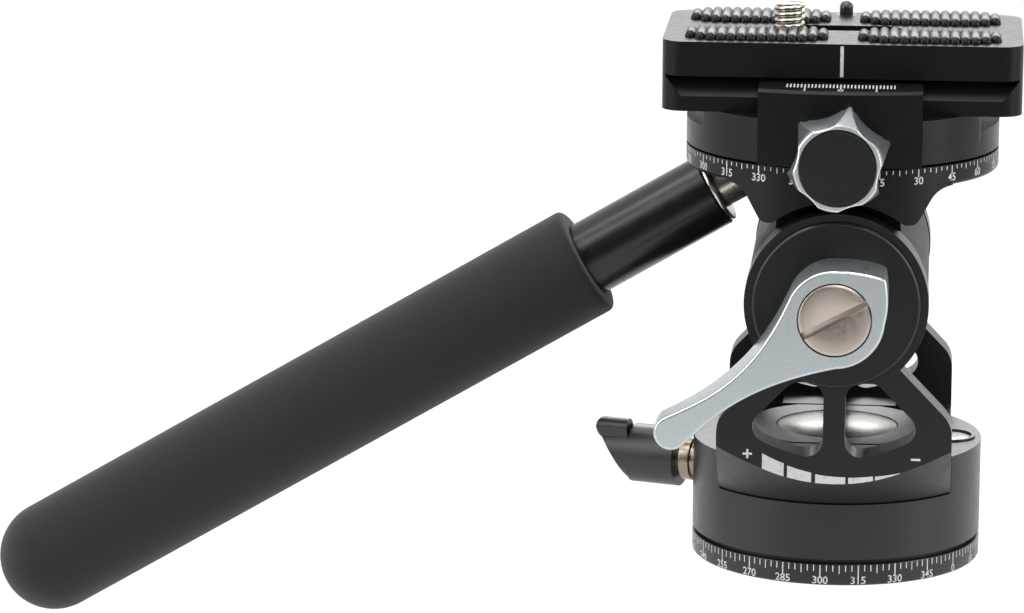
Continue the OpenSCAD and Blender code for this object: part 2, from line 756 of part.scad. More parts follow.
module tilt_bracket() {
  color("#232325") difference() {
    union() {
      rotate_extrude() union() {
        translate([0, ring_z0]) square([ring_r - ring_edge, ring_h]);
        translate([0, ring_z0 + ring_edge]) square([ring_r, ring_h - ring_edge]);
        translate([ring_r - ring_edge, ring_z0 + ring_edge]) circle(r = ring_edge);
      }
      intersection() {
        cylinder(r = ring_r, h = ring_z1);
        difference() {
          front_slab(-ring_r, ring_r) neck_outline();
          translate([0, 0, tilt_z]) front_rod(arc_r, -ring_r - cut, ring_r + cut);
        }
      }
      translate([-web_w, -drum_y, tilt_z]) cube([2 * web_w, 2 * drum_y, arc_r]);
      translate([0, 0, tilt_z]) front_rod(drum_r, -drum_y, drum_y);
    }
    translate([0, 0, tilt_z]) front_rod(tilt_bush_r + fit_gap, -drum_y - cut, drum_y + cut);
    translate([0, 0, ring_z1 - pivot_thread_l])
      cylinder(r = pivot_thread_r + fit_gap, h = pivot_thread_l + cut);
    on_handle() translate([0, 0, neck_l - cut])
      cylinder(r = handle_stud_r + fit_gap, h = handle_thread + 2 * cut);
    on_handle() translate([0, 0, neck_l - 6]) cylinder(r = handle_neck_r + 1, h = 6);
  }
}

module tilt_bushes() {
  color("goldenrod") for (s = [0, 180]) rotate(s) translate([0, 0, tilt_z]) difference() {
    front_rod(tilt_bush_r, drum_y - tilt_bush_l, drum_y);
    front_rod(shaft_r + run_gap, drum_y - tilt_bush_l - cut, drum_y + cut);
  }
}

module friction_discs() {
  color("#5a4a3a") for (s = [0, 180]) rotate(s) translate([0, 0, tilt_z]) difference() {
    front_rod(drum_r - 1, drum_y, drum_y + disc_t);
    front_rod(shaft_r + run_gap, drum_y - cut, drum_y + disc_t + cut);
  }
}

// Handle
module handle_stud() {
  color("#cfccc6") on_handle() {
    translate([0, 0, -12]) cylinder(r = tube_r - tube_wall - fit_gap, h = 12);
    cylinder(r = tube_r - 0.4, h = 1);
    cylinder(r = handle_neck_r, h = neck_l);
    translate([0, 0, neck_l - fit_gap]) cylinder(r = handle_stud_r, h = handle_thread);
  }
}

module handle_tube() {
  color("#161617") on_handle() translate([0, 0, -tube_show - tube_in])
    ring(tube_r - tube_wall, tube_r, tube_show + tube_in);
}

module handle_grip() {
  color("#29292a") on_handle() difference() {
    union() {
      translate([0, 0, -tube_show - grip_l + grip_r]) cylinder(r = grip_r, h = grip_l - grip_r);
      translate([0, 0, -tube_show - grip_l + grip_r]) sphere(r = grip_r);
    }
    translate([0, 0, -tube_show - tube_in - fit_gap])
      cylinder(r = tube_r + fit_gap, h = tube_in + cut + fit_gap);
  }
}

// Clamp
module clamp_pivot() {
  color("gray") {
    translate([0, 0, ring_z1 - pivot_thread_l + cut]) cylinder(r = pivot_thread_r, h = pivot_thread_l);
    translate([0, 0, ring_z1]) cylinder(r = pivot_r, h = pivot_z + run_gap - ring_z1);
    translate([0, 0, pivot_z + run_gap]) cylinder(r = pivot_head_r, h = pivot_head_h);
  }
}

module clamp_washer() {
  color("#101010") translate([0, 0, ring_z1]) ring(pivot_r + fit_gap, ring_r - 5, clamp_gap - run_gap);
}

module at_guides() {
  for (x = [-guide_x, guide_x]) translate([x, 0, guide_z]) children();
}

// Side outline of a jaw: distance from the middle across, height up
module jaw_outline(inner) {
  polygon([[inner, jaw_z0], [jaw_y + cut, jaw_z0], [jaw_y + cut, jaw_z1], [jaw_flank - jaw_z1, jaw_z1],
    [jaw_in, jaw_flank - jaw_in], [jaw_in, clamp_z1 - cut], [inner, clamp_z1 - cut]]);
}

module jaw(inner) {
  intersection() {
    translate([jaw_w, 0, 0]) rotate([0, 0, -90]) rotate([90, 0, 0]) mirror([0, 0, 1])
      translate([0, 0, -2 * jaw_w]) linear_extrude(2 * jaw_w) jaw_outline(inner);
    translate([0, jaw_front_r - jaw_y, 0]) rotate_extrude($fn = 200)
      polygon([[0, jaw_z0], [jaw_front_r, jaw_z0], [jaw_front_r, jaw_z1 - jaw_chamfer],
        [jaw_front_r - jaw_chamfer, jaw_z1], [0, jaw_z1]]);
  }
}

module clamp_body() {
  color("#202022") difference() {
    union() {
      difference() {
        translate([0, 0, clamp_z0]) cylinder(r = ring_r, h = clamp_h);
        for (s = [0, 180]) rotate(s) translate([flat_x, -ring_r, clamp_z0 + ledge_h])
          cube([ring_r, 2 * ring_r, clamp_h]);
        translate([-jaw_w - run_gap, -ring_r - cut, clamp_z0 - cut])
          cube([2 * (jaw_w + run_gap), ring_r + cut - slot_y, clamp_h + 2 * cut]);
      }
      rotate(180) jaw(slot_y);
    }
    translate([0, 0, clamp_z0 - cut]) cylinder(r = pivot_r + run_gap, h = clamp_h + 2 * cut);
    translate([0, 0, pivot_z]) cylinder(r = pivot_head_r + pass_gap, h = clamp_h);
    translate([0, 0, knob_z]) front_rod(clamp_screw_r + run_gap, pivot_r + 2, ring_r);
    at_guides() {
      front_rod(guide_r + fit_gap, slot_y - spring_pocket - 5, ring_r);
      front_rod(spring_r + pass_gap, slot_y - spring_pocket, ring_r);
    }
  }
}

module guide_pins() {
  color("silver") at_guides() front_rod(guide_r, slot_y - spring_pocket - 4.9, jaw_y - 6);
}

module jaw_springs() {
  length = jaw_in - slot_y + spring_pocket - 2 * run_gap;
  color("silver") at_guides() translate([0, -jaw_in + run_gap + length, 0]) rotate([90, 0, 0])
    coil(spring_r, spring_wire, length, spring_turns);
}

module clamp_jaw() {
  color("#1d1d1f") difference() {
    jaw(jaw_in);
    translate([0, 0, knob_z]) front_rod(clamp_screw_r + pass_gap, jaw_in - cut, jaw_y + cut);
    at_guides() front_rod(guide_r + run_gap, jaw_in - cut, jaw_y - 5.5);
  }
}

// Clamp knob
module clamp_knob() {
  color("#a3b0b6") translate([0, 0, knob_z]) difference() {
    translate([0, -star_back, 0]) rotate([90, 0, 0]) union() {
      cylinder(r1 = star_r - star_bevel * 0.6, r2 = star_r, h = star_bevel);
      translate([0, 0, star_bevel]) cylinder(r1 = star_r, r2 = star_front_r, h = star_l - star_bevel);
    }
    for (i = [0 : star_points - 1])
      rotate([0, -star_turn - (i + 0.5) * 360 / star_points, 0]) translate([flute_in + flute_r, 0, 0])
        front_rod(flute_r, star_back - cut, star_front + cut);
    front_rod(knob_cap_r + fit_gap, star_front - knob_cap_t, star_front + cut);
    front_rod(clamp_screw_r + fit_gap, star_back - cut, star_front);
  }
}

module knob_cap() {
  color("#151516") translate([0, 0, knob_z])
    front_rod(knob_cap_r, star_front - knob_cap_t + fit_gap, star_front);
}

module clamp_screw() {
  color("silver") translate([0, 0, knob_z])
    front_rod(clamp_screw_r, pivot_r + 2 + pass_gap, star_front - knob_cap_t);
}

// Quick-release plate
module plate_outline() {
  long = plate_l - 2 * plate_corner;
  wide = plate_w - 2 * plate_corner;
  square([plate_l, wide], center = true);
  square([long, plate_w], center = true);
  for (x = [-1, 1], y = [-1, 1]) translate([x * long / 2, y * wide / 2]) circle(r = plate_corner);
}

// The dovetail groove: a 45 degree undercut under the slab, closed by slanted walls at both ends
module groove() {
  top = plate_l / 2 - 0.5;
  low = plate_l / 2 - groove_end;
  deep = slab_z - flank_z + cut;
  intersection() {
    front_slab(groove_y - cut, plate_w)
      polygon([[-top, slab_z], [top, slab_z], [low, flank_z], [low, flank_z - cut],
        [-low, flank_z - cut], [-low, flank_z]]);
    translate([-plate_l / 2, 0, 0]) rotate([90, 0, 90]) linear_extrude(plate_l)
      polygon([[-groove_y, slab_z], [-groove_y - deep, slab_z], [-groove_y - deep, slab_z - deep]]);
  }
}

module pad_places() {
  for (x = [-1, 1], y = [-1, 1]) translate([x * (pad_l + pad_gap) / 2, y * pad_y, 0]) children();
}

module pin_place() {
  translate([0, pin_y, 0]) children();
}

module camera_slot_cut(width, z0, z1) {
  translate([camera_x + camera_travel / 2, 0, z0]) linear_extrude(z1 - z0)
    stadium(camera_travel + width, width);
}

module qr_plate() {
  edge = 0.4;
  color("#1b1b1c") difference() {
    translate([0, 0, plate_z0]) linear_extrude(plate_h) plate_outline();
    groove();
    rotate(180) groove();
    camera_slot_cut(2 * camera_slot, plate_z0, plate_z1 + cut);
    camera_slot_cut(2 * (camera_head_r + pass_gap), plate_z0 - cut, web_z);
    pad_places() translate([0, 0, plate_z1 - pad_sink]) linear_extrude(pad_sink + cut)
      stadium(pad_l + 2 * fit_gap, pad_w + 2 * fit_gap);
    pin_place() translate([0, 0, pin_z0]) cylinder(r = pin_bush_r + fit_gap, h = pin_chamber + cut);
  }
}

module rubber_pads() {
  ribs = floor(pad_l / rib_pitch);
  valley = pad_rise * 0.3;
  start = -ribs * rib_pitch / 2;
  color("#131313") pad_places() intersection() {
    translate([0, 0, plate_z1 - pad_sink]) linear_extrude(pad_sink + pad_rise) stadium(pad_l, pad_w);
    translate([0, 0, plate_z1]) front_slab(-pad_w, pad_w) polygon(concat(
      [[-pad_l, -pad_sink - cut], [-pad_l, valley]],
      [for (i = [0 : ribs - 1]) let (x = start + i * rib_pitch)
        each [[x, valley], [x + 0.28 * rib_pitch, pad_rise], [x + 0.72 * rib_pitch, pad_rise]]],
      [[start + ribs * rib_pitch, valley], [pad_l, valley], [pad_l, -pad_sink - cut]]));
  }
}

module pin_bush() {
  color("gray") pin_place() translate([0, 0, plate_z1 - pin_bush_h])
    ring(pin_r + run_gap, pin_bush_r, pin_bush_h);
}

module pin_spring() {
  color("silver") pin_place() translate([0, 0, pin_z0 + run_gap])
    coil(pin_collar_r - 0.1, 0.16, pin_collar_z - pin_z0 - 2 * run_gap, 4);
}

module screw_retainer() {
  color("#e8e6df") translate([camera_x, 0, web_z - run_gap - retainer_t])
    ring(camera_neck_r + run_gap, retainer_r, retainer_t);
}

module camera_screw() {
  head_z = web_z - 2 * run_gap - retainer_t - camera_head_h;
  lead = 0.6;
  color("#cfccc6") translate([camera_x, 0, 0]) difference() {
    union() {
      translate([0, 0, head_z]) cylinder(r = camera_head_r, h = camera_head_h);
      translate([0, 0, head_z]) cylinder(r = camera_neck_r, h = plate_z1 + camera_rise - lead - head_z);
      translate([0, 0, plate_z1 + 0.2]) cylinder(r = camera_r, h = camera_rise - lead - 0.2);
      translate([0, 0, plate_z1 + camera_rise - lead])
        cylinder(r1 = camera_r, r2 = camera_r - lead, h = lead);
    }
    translate([-camera_head_r - cut, -0.8, head_z - cut])
      cube([2 * (camera_head_r + cut), 1.6, 1.5 + cut]);
  }
}

module video_pin() {
  color("#151516") pin_place() {
    translate([0, 0, pin_collar_z]) cylinder(r = pin_collar_r, h = pin_collar_t);
    translate([0, 0, pin_collar_z]) cylinder(r = pin_r, h = plate_z1 + pin_rise - pin_r - pin_collar_z);
    translate([0, 0, plate_z1 + pin_rise - pin_r]) sphere(r = pin_r);
  }
}

base_dial();
tripod_bush();
pan_spindle();
pan_nut();
pan_washer();
pan_housing();
pan_cap();
front_upright();
rear_upright();
upright_screws();
front_cap();
rear_cap();
tilt_shaft();
lever_screw();
brake_shoe();
level_bezel();
level_vial();
pan_lock_knob();
pan_lock_stud();
tilt_bracket();
tilt_bushes();
friction_discs();
handle_stud();
handle_tube();
handle_grip();
clamp_pivot();
clamp_washer();
drag_lever();
clamp_body();
guide_pins();
jaw_springs();
clamp_jaw();
clamp_knob();
knob_cap();
clamp_screw();
qr_plate();
rubber_pads();
pin_bush();
pin_spring();
screw_retainer();
camera_screw();
video_pin();
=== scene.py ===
"""Looks of a compact fluid video head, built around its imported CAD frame."""
import logging
import math
from dataclasses import dataclass
from enum import Enum
from typing import Callable, Optional, Sequence

import bpy
from mathutils import Matrix, Vector


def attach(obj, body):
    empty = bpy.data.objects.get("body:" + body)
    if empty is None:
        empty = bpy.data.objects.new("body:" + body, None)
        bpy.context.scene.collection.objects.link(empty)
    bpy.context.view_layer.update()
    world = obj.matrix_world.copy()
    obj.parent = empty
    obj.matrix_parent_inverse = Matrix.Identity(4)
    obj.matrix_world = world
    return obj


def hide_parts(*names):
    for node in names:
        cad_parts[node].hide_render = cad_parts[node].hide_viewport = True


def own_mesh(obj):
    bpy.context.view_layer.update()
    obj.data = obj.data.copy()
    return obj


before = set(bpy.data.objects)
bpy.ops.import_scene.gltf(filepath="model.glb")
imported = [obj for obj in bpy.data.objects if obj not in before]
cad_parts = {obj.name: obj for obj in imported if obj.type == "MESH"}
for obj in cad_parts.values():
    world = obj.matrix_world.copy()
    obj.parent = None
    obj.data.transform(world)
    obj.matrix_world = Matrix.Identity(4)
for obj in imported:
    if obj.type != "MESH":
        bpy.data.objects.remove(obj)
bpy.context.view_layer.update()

# A millimetre in metres, and the distance in metres under which corners merge
MM = 0.001
MERGE = 0.0000008
# Height of the tilt axis, and how far print stands proud of a surface and reaches into it, in millimetres
TILT_HEIGHT = 60.0
PRINT_PROUD = 0.012
PRINT_SINK = 0.1
# Length of one wave of a Wave texture at a scale of one
WAVE_LENGTH = 0.314
ORIGIN = (0, 0, 0)
UP = (0, 0, 1)
FRONT = (0, -1, 0)
WHITE = (1, 1, 1, 1)
log = logging.getLogger("video_head")
Point = Sequence[float]
Piece = bpy.types.Object
Material = bpy.types.Material
Socket = bpy.types.NodeSocket


class Body(Enum):
    """The CAD bodies that pieces ride on."""

    BASE = "base"
    PAN = "pan"
    PAN_LOCK = "pan_lock"
    TILT = "tilt"
    LEVER = "lever"
    CLAMP = "clamp"
    JAW = "jaw"
    KNOB = "knob"
    PLATE = "plate"
    SCREW = "camera_screw"


class Slot(Enum):
    """The record's material slots, named for new pieces."""

    BLACK = "black_anodised"
    SILVER = "silver_anodised"
    STAINLESS = "stainless"
    NICKEL = "nickel"
    STEEL = "steel"
    TUBE = "black_tube"
    FOAM = "foam"
    RUBBER = "rubber"
    PLASTIC = "black_plastic"
    VIAL = "vial"


class Sheet:
    """A node tree, laid out node by node."""

    def __init__(self, tree: bpy.types.NodeTree) -> None:
        """Take hold of a node tree."""
        self.nodes = tree.nodes
        self.links = tree.links

    def add(self, kind: str, settings: Optional[dict[str, object]] = None,
            **inputs: object) -> bpy.types.Node:
        """Add a node, set its options and fill or link its inputs.

        Args:
            kind: Node type without its ShaderNode prefix.
            settings: Attributes of the node itself.
            inputs: Socket names with spaces written as underscores.

        Returns:
            The new node.
        """
        node = self.nodes.new("ShaderNode" + kind)
        for key, value in (settings or {}).items():
            setattr(node, key, value)
        for key, value in inputs.items():
            self.feed(node.inputs[key.replace("_", " ")], value)
        return node

    def feed(self, socket: Socket, value: object) -> None:
        """Link an output to a socket, or set the socket's own value.

        Args:
            socket: The socket to feed.
            value: An output or a plain value.
        """
        if isinstance(value, Socket):
            self.links.new(value, socket)
        else:
            socket.default_value = value

    def combine(self, kind: str, operation: str, first: object, second: object) -> Socket:
        """Combine two values.

        Args:
            kind: Math or VectorMath.
            operation: What is done with the values.
            first: The first value or output.
            second: The second value or output.

        Returns:
            The result.
        """
        node = self.add(kind, {"operation": operation})
        self.feed(node.inputs[0], first)
        self.feed(node.inputs[1], second)
        return node.outputs[0]

    def mix(self, factor: Socket, first: bpy.types.Node, second: bpy.types.Node) -> Socket:
        """Mix two shaders.

        Args:
            factor: Share of the second one.
            first: The first shader.
            second: The second shader.

        Returns:
            The mixed shader.
        """
        node = self.add("MixShader", Fac=factor)
        self.feed(node.inputs[1], first.outputs[0])
        self.feed(node.inputs[2], second.outputs[0])
        return node.outputs[0]


class Coating(Sheet):
    """A Principled material whose patterns read Object coordinates."""

    def __init__(self, name: str) -> None:
        """Start a plain material.

        Args:
            name: Name of the material.
        """
        self.material = bpy.data.materials.new(name)
        self.material.use_nodes = True
        super().__init__(self.material.node_tree)
        self.shader = self.nodes["Principled BSDF"]
        self.coords = self.add("TexCoord").outputs["Object"]

    def noise(self, scale: float, detail: float) -> Socket:
        """Return the value of a noise texture with so many features to the metre."""
        node = self.add("TexNoise", Vector=self.coords, Scale=scale, Detail=detail, Roughness=0.6)
        return node.outputs["Fac"]

    def span(self, value: Socket, low: float, high: float, start: float = 0.3, stop: float = 0.7) -> Socket:
        """Map a texture value from one span to another."""
        node = self.add("MapRange", Value=value, From_Min=start, From_Max=stop, To_Min=low, To_Max=high)
        return node.outputs["Result"]

    def around(self, value: Socket, middle: float, spread: float) -> Socket:
        """Map a texture value to a span around a middle value."""
        return self.span(value, middle - spread, middle + spread)

    def shades(self, factor: Socket, color: Point, low: float, high: float) -> Socket:
        """Mix a darker and a lighter shade of a colour.

        Args:
            factor: The texture value that mixes them.
            color: The colour itself.
            low: Share of the colour's strength where the value is zero.
            high: Share of the colour's strength where the value is one.

        Returns:
            The mixed colour.
        """
        ramp = self.add("ValToRGB", Fac=factor)
        for element, share in zip(ramp.color_ramp.elements, (low, high)):
            element.color = (*(min(1.0, part * share) for part in color), 1.0)
        return ramp.outputs["Color"]

    def bump(self, height: Socket, depth: float, under: Optional[Socket] = None) -> Socket:
        """Bump the surface.

        Args:
            height: The texture value that gives the height.
            depth: Depth of the bump, in metres.
            under: A normal that is already bumped.

        Returns:
            The bumped normal.
        """
        node = self.add("Bump", Height=height, Strength=1.0, Distance=depth)
        if under is not None:
            self.feed(node.inputs["Normal"], under)
        return node.outputs["Normal"]

    def set(self, **inputs: object) -> None:
        """Fill or link sockets of the shader itself."""
        for key, value in inputs.items():
            self.feed(self.shader.inputs[key.replace("_", " ")], value)


class Finish:
    """A finish of the head, each kind of which lays out its own nodes."""

    name: str

    def material(self) -> Material:
        """Lay the finish out on a new material.

        Returns:
            The material.
        """
        coating = Coating(self.name)
        self.lay_out(coating)
        return coating.material

    def lay_out(self, coating: Coating) -> None:
        """Lay out the finish's nodes."""
        raise NotImplementedError


@dataclass(frozen=True)
class Anodised(Finish):
    """Bead-blasted and anodised aluminium: a fine even grain with soft tone changes."""

    name: str
    color: Point
    roughness: float
    metallic: float = 0.0
    specular: float = 0.5
    tone: float = 0.12
    sparkle: float = 0.0
    grain: float = 3600.0
    grain_depth: float = 0.000012
    cloud: float = 85.0
    rub: float = 420.0
    rub_spread: float = 0.045

    def lay_out(self, coating: Coating) -> None:
        """Lay out the grain, the tone changes and the rubbed places.

        Args:
            coating: The sheet of the new material.
        """
        grain = coating.noise(self.grain, detail=3.0)
        cloud = coating.noise(self.cloud, detail=5.0)
        rub = coating.noise(self.rub, detail=6.0)
        tone = coating.shades(cloud, self.color, 1 - self.tone, 1 + self.tone)
        glint = coating.around(grain, 1, self.sparkle)
        color = coating.add("VectorMath", {"operation": "SCALE"}, Vector=tone, Scale=glint)
        coating.set(
            Base_Color=color.outputs["Vector"],
            Metallic=self.metallic,
            Roughness=coating.around(rub, self.roughness, self.rub_spread),
            Normal=coating.bump(grain, self.grain_depth),
            Specular_IOR_Level=self.specular,
        )


@dataclass(frozen=True)
class Turned(Finish):
    """Turned metal: fine rings about an axis, with faint scratches."""

    name: str
    color: Point
    roughness: float
    axis: Point
    centre: Point
    pitch: float = 0.22
    depth: float = 0.0000035
    cloud: float = 140.0
    scratch: float = 900.0
    scuff: float = 0.06

    def lay_out(self, coating: Coating) -> None:
        """Lay out the rings, the tone changes and the scratches.

        Args:
            coating: The sheet of the new material.
        """
        turn = Vector(self.axis).to_track_quat("Z", "Y").inverted().to_euler()
        shift = coating.combine("VectorMath", "SUBTRACT", coating.coords, Vector(self.centre) * MM)
        place = coating.add("Mapping", Vector=shift, Rotation=turn).outputs["Vector"]
        rings = coating.add("TexWave", {"wave_type": "RINGS", "rings_direction": "Z"}, Vector=place,
                            Scale=WAVE_LENGTH / (self.pitch * MM), Distortion=1.6, Detail=2.0,
                            Detail_Scale=2.0)
        coating.set(
            Base_Color=coating.shades(coating.noise(self.cloud, detail=4.0), self.color, 0.93, 1.05),
            Metallic=1.0,
            Roughness=coating.around(coating.noise(self.scratch, detail=5.0), self.roughness, self.scuff),
            Normal=coating.bump(rings.outputs["Fac"], self.depth),
        )


@dataclass(frozen=True)
class Foam(Finish):
    """Closed-cell foam: matt, with a skin of fine pores and faint mottling."""

    name: str
    color: Point
    pore: float = 2600.0
    pore_depth: float = 0.00005
    grain: float = 4200.0
    grain_depth: float = 0.00003
    pit: float = 620.0
    pit_depth: float = 0.00003
    mottle: float = 160.0

    def lay_out(self, coating: Coating) -> None:
        """Lay out the pores, the pits and the mottling.

        Args:
            coating: The sheet of the new material.
        """
        cells = coating.add("TexVoronoi", {"feature": "F1"}, Vector=coating.coords, Scale=self.pore,
                            Randomness=1.0)
        mottle = coating.noise(self.mottle, detail=6.0)
        pits = coating.span(coating.noise(self.pit, detail=2.0), 0.0, 1.0, 0.62, 0.72)
        pores = coating.bump(cells.outputs["Distance"], self.pore_depth)
        skin = coating.bump(coating.noise(self.grain, detail=3.0), self.grain_depth, pores)
        coating.set(
            Base_Color=coating.shades(mottle, self.color, 0.86, 1.14),
            Roughness=coating.span(mottle, 0.86, 0.95),
            Normal=coating.bump(pits, -self.pit_depth, skin),
            Specular_IOR_Level=0.22,
            Sheen_Weight=0.12,
            Sheen_Roughness=0.6,
        )


@dataclass(frozen=True)
class Moulded(Finish):
    """Moulded rubber or plastic with a fine texture."""

    name: str
    color: Point
    roughness: float
    texture: float = 2200.0
    depth: float = 0.00001
    specular: float = 0.25
    cloud: float = 180.0
    spread: float = 0.05

    def lay_out(self, coating: Coating) -> None:
        """Lay out the texture and the tone changes.

        Args:
            coating: The sheet of the new material.
        """
        cloud = coating.noise(self.cloud, detail=5.0)
        coating.set(
            Base_Color=coating.shades(cloud, self.color, 0.85, 1.2),
            Roughness=coating.around(cloud, self.roughness, self.spread),
            Normal=coating.bump(coating.noise(self.texture, detail=3.0), self.depth),
            Specular_IOR_Level=self.specular,
        )


@dataclass(frozen=True)
class Print(Finish):
    """White screen print, a little worn."""

    name: str = "white_print"
    color: Point = (0.5, 0.5, 0.49)
    wear: float = 900.0
    grain: float = 3000.0
    grain_depth: float = 0.000008

    def lay_out(self, coating: Coating) -> None:
        """Lay out the wear and the grain.

        Args:
            coating: The sheet of the new material.
        """
        worn = coating.span(coating.noise(self.wear, detail=6.0), 0.0, 1.0, 0.28, 0.5)
        coating.set(
            Base_Color=coating.shades(worn, self.color, 0.72, 1.0),
            Roughness=coating.span(worn, 0.62, 0.5),
            Normal=coating.bump(coating.noise(self.grain, detail=2.0), self.grain_depth),
        )


@dataclass(frozen=True)
class Liquid(Finish):
    """Tinted liquid under clear acrylic."""

    name: str
    color: Point
    clear: float
    cloud: float = 260.0
    depth: float = 0.00001

    def lay_out(self, coating: Coating) -> None:
        """Lay out the tint and the clear coat.

        Args:
            coating: The sheet of the new material.
        """
        cloud = coating.noise(self.cloud, detail=3.0)
        coating.set(
            Base_Color=coating.shades(cloud, self.color, 0.92, 1.06),
            Roughness=coating.span(cloud, 0.05, 0.11),
            Normal=coating.bump(cloud, self.depth),
            Transmission_Weight=self.clear,
            Coat_Weight=0.6,
            IOR=1.4,
        )


class Finishes:
    """All finishes of the head, made once and shared."""

    def __init__(self) -> None:
        """Make every material."""
        ink = (0.0034, 0.0033, 0.0033)
        knob = {"metallic": 0.9, "grain_depth": 0.000005, "tone": 0.05}
        tilt = {"axis": FRONT, "centre": (0, 0, TILT_HEIGHT)}
        self.black = Anodised("black_anodised", ink, 0.3, specular=0.25).material()
        self.black_arm = Anodised("black_anodised_arm", ink, 0.32, specular=0.42).material()
        self.black_drum = Anodised("black_anodised_drum", (0.005, 0.005, 0.0054), 0.34,
                                   specular=0.55).material()
        # A lighter, glossier copy of the black for the broken edges: a painted highlight along the edges of
        # the uprights, their caps and the plate.
        self.black_edge = Anodised("black_anodised_edge_highlight", (0.01, 0.01, 0.0105), 0.32).material()
        # A duller, less glossy copy of the black for the tilt drum between the uprights and for the jaw's
        # edges and top front: painted shade.
        self.black_matt = Anodised("black_anodised_matt_shade", ink, 0.45, specular=0.16).material()
        self.black_top = Anodised("black_anodised_plate", (0.0055, 0.0053, 0.0052), 0.36, specular=0.15,
                                  grain_depth=0.000014).material()
        self.silver = Anodised("silver_anodised", (0.57, 0.62, 0.64), 0.3, metallic=0.9, tone=0.05,
                               sparkle=0.06, grain=3000.0, grain_depth=0.0000015).material()
        # A darker copy of the silver for edges that face up: painted shade that tones down their highlight on
        # the drag lever and the knob's front rim.
        self.silver_edge = Anodised("silver_anodised_shaded_edge", (0.5, 0.54, 0.55), 0.28, metallic=0.95, tone=0.04,
                                    grain_depth=0.000003).material()
        self.knob_side = Anodised("knob_flutes", (0.29, 0.325, 0.34), 0.34, **knob).material()
        self.knob_land = Anodised("knob_lands", (0.165, 0.18, 0.19), 0.4, **knob).material()
        self.knob_ring = Anodised("knob_face", (0.66, 0.69, 0.7), 0.32, **knob).material()
        self.tube = Anodised("black_tube_paint", (0.006, 0.006, 0.0062), 0.24, specular=0.48,
                             grain_depth=0.000004).material()
        self.lever_screw = Turned("stainless_screw", (0.55, 0.485, 0.43), 0.34, **tilt).material()
        # A darker copy of the screw's steel for the inside of its slot: painted shade in the recess.
        self.screw_slot = Turned("stainless_slot_shade", (0.2, 0.17, 0.145), 0.45, **tilt).material()
        self.nickel = Turned("nickel_dome", (0.36, 0.345, 0.32), 0.22, UP, (0, 0, 27), pitch=0.3,
                             depth=0.0000001, scuff=0.02).material()
        self.camera_screw = Turned("plated_screw", (0.56, 0.52, 0.46), 0.28, UP, (-11.3, 0, 112),
                                   depth=0.0000002).material()
        self.handle_end = Turned("turned_handle_end", (0.8, 0.74, 0.66), 0.24, (0.8616, 0, 0.5075),
                                 (-26.6, 8, 75)).material()
        self.lock_stud = Turned("turned_lock_stud", (0.3, 0.255, 0.21), 0.28, (-0.951, 0.309, 0),
                                (-31.4, 10.2, 16.45)).material()
        self.steel = Turned("plain_steel", (0.45, 0.45, 0.46), 0.36, pitch=0.4, **tilt).material()
        self.bronze = Turned("bronze", (0.5, 0.36, 0.17), 0.4, pitch=0.4, **tilt).material()
        self.foam = Foam("grip_foam", (0.0092, 0.0092, 0.0095)).material()
        self.rubber = Moulded("pad_rubber", (0.0032, 0.0032, 0.0032), 0.3, texture=1800.0, depth=0.000004,
                              specular=0.2).material()
        self.plastic = Moulded("black_plastic", (0.006, 0.006, 0.0063), 0.36, specular=0.7).material()
        self.cap_plastic = Moulded("knob_cap_plastic", (0.0085, 0.0085, 0.0087), 0.46, texture=2800.0,
                                   depth=0.000014, specular=0.22).material()
        self.friction = Moulded("friction_plastic", (0.022, 0.02, 0.019), 0.5).material()
        # A near-black, almost unreflecting strip that paints the shadow line where the uprights' feet meet
        # the housing.
        self.seam = Moulded("seam_shadow_strip", (0.0012, 0.0012, 0.0012), 0.8, specular=0.02).material()
        self.white = Print().material()
        self.liquid = Liquid("level_liquid", (0.62, 0.76, 0.55), 0.25).material()
        self.bubble = Liquid("level_bubble", (0.86, 0.92, 0.82), 0.35).material()


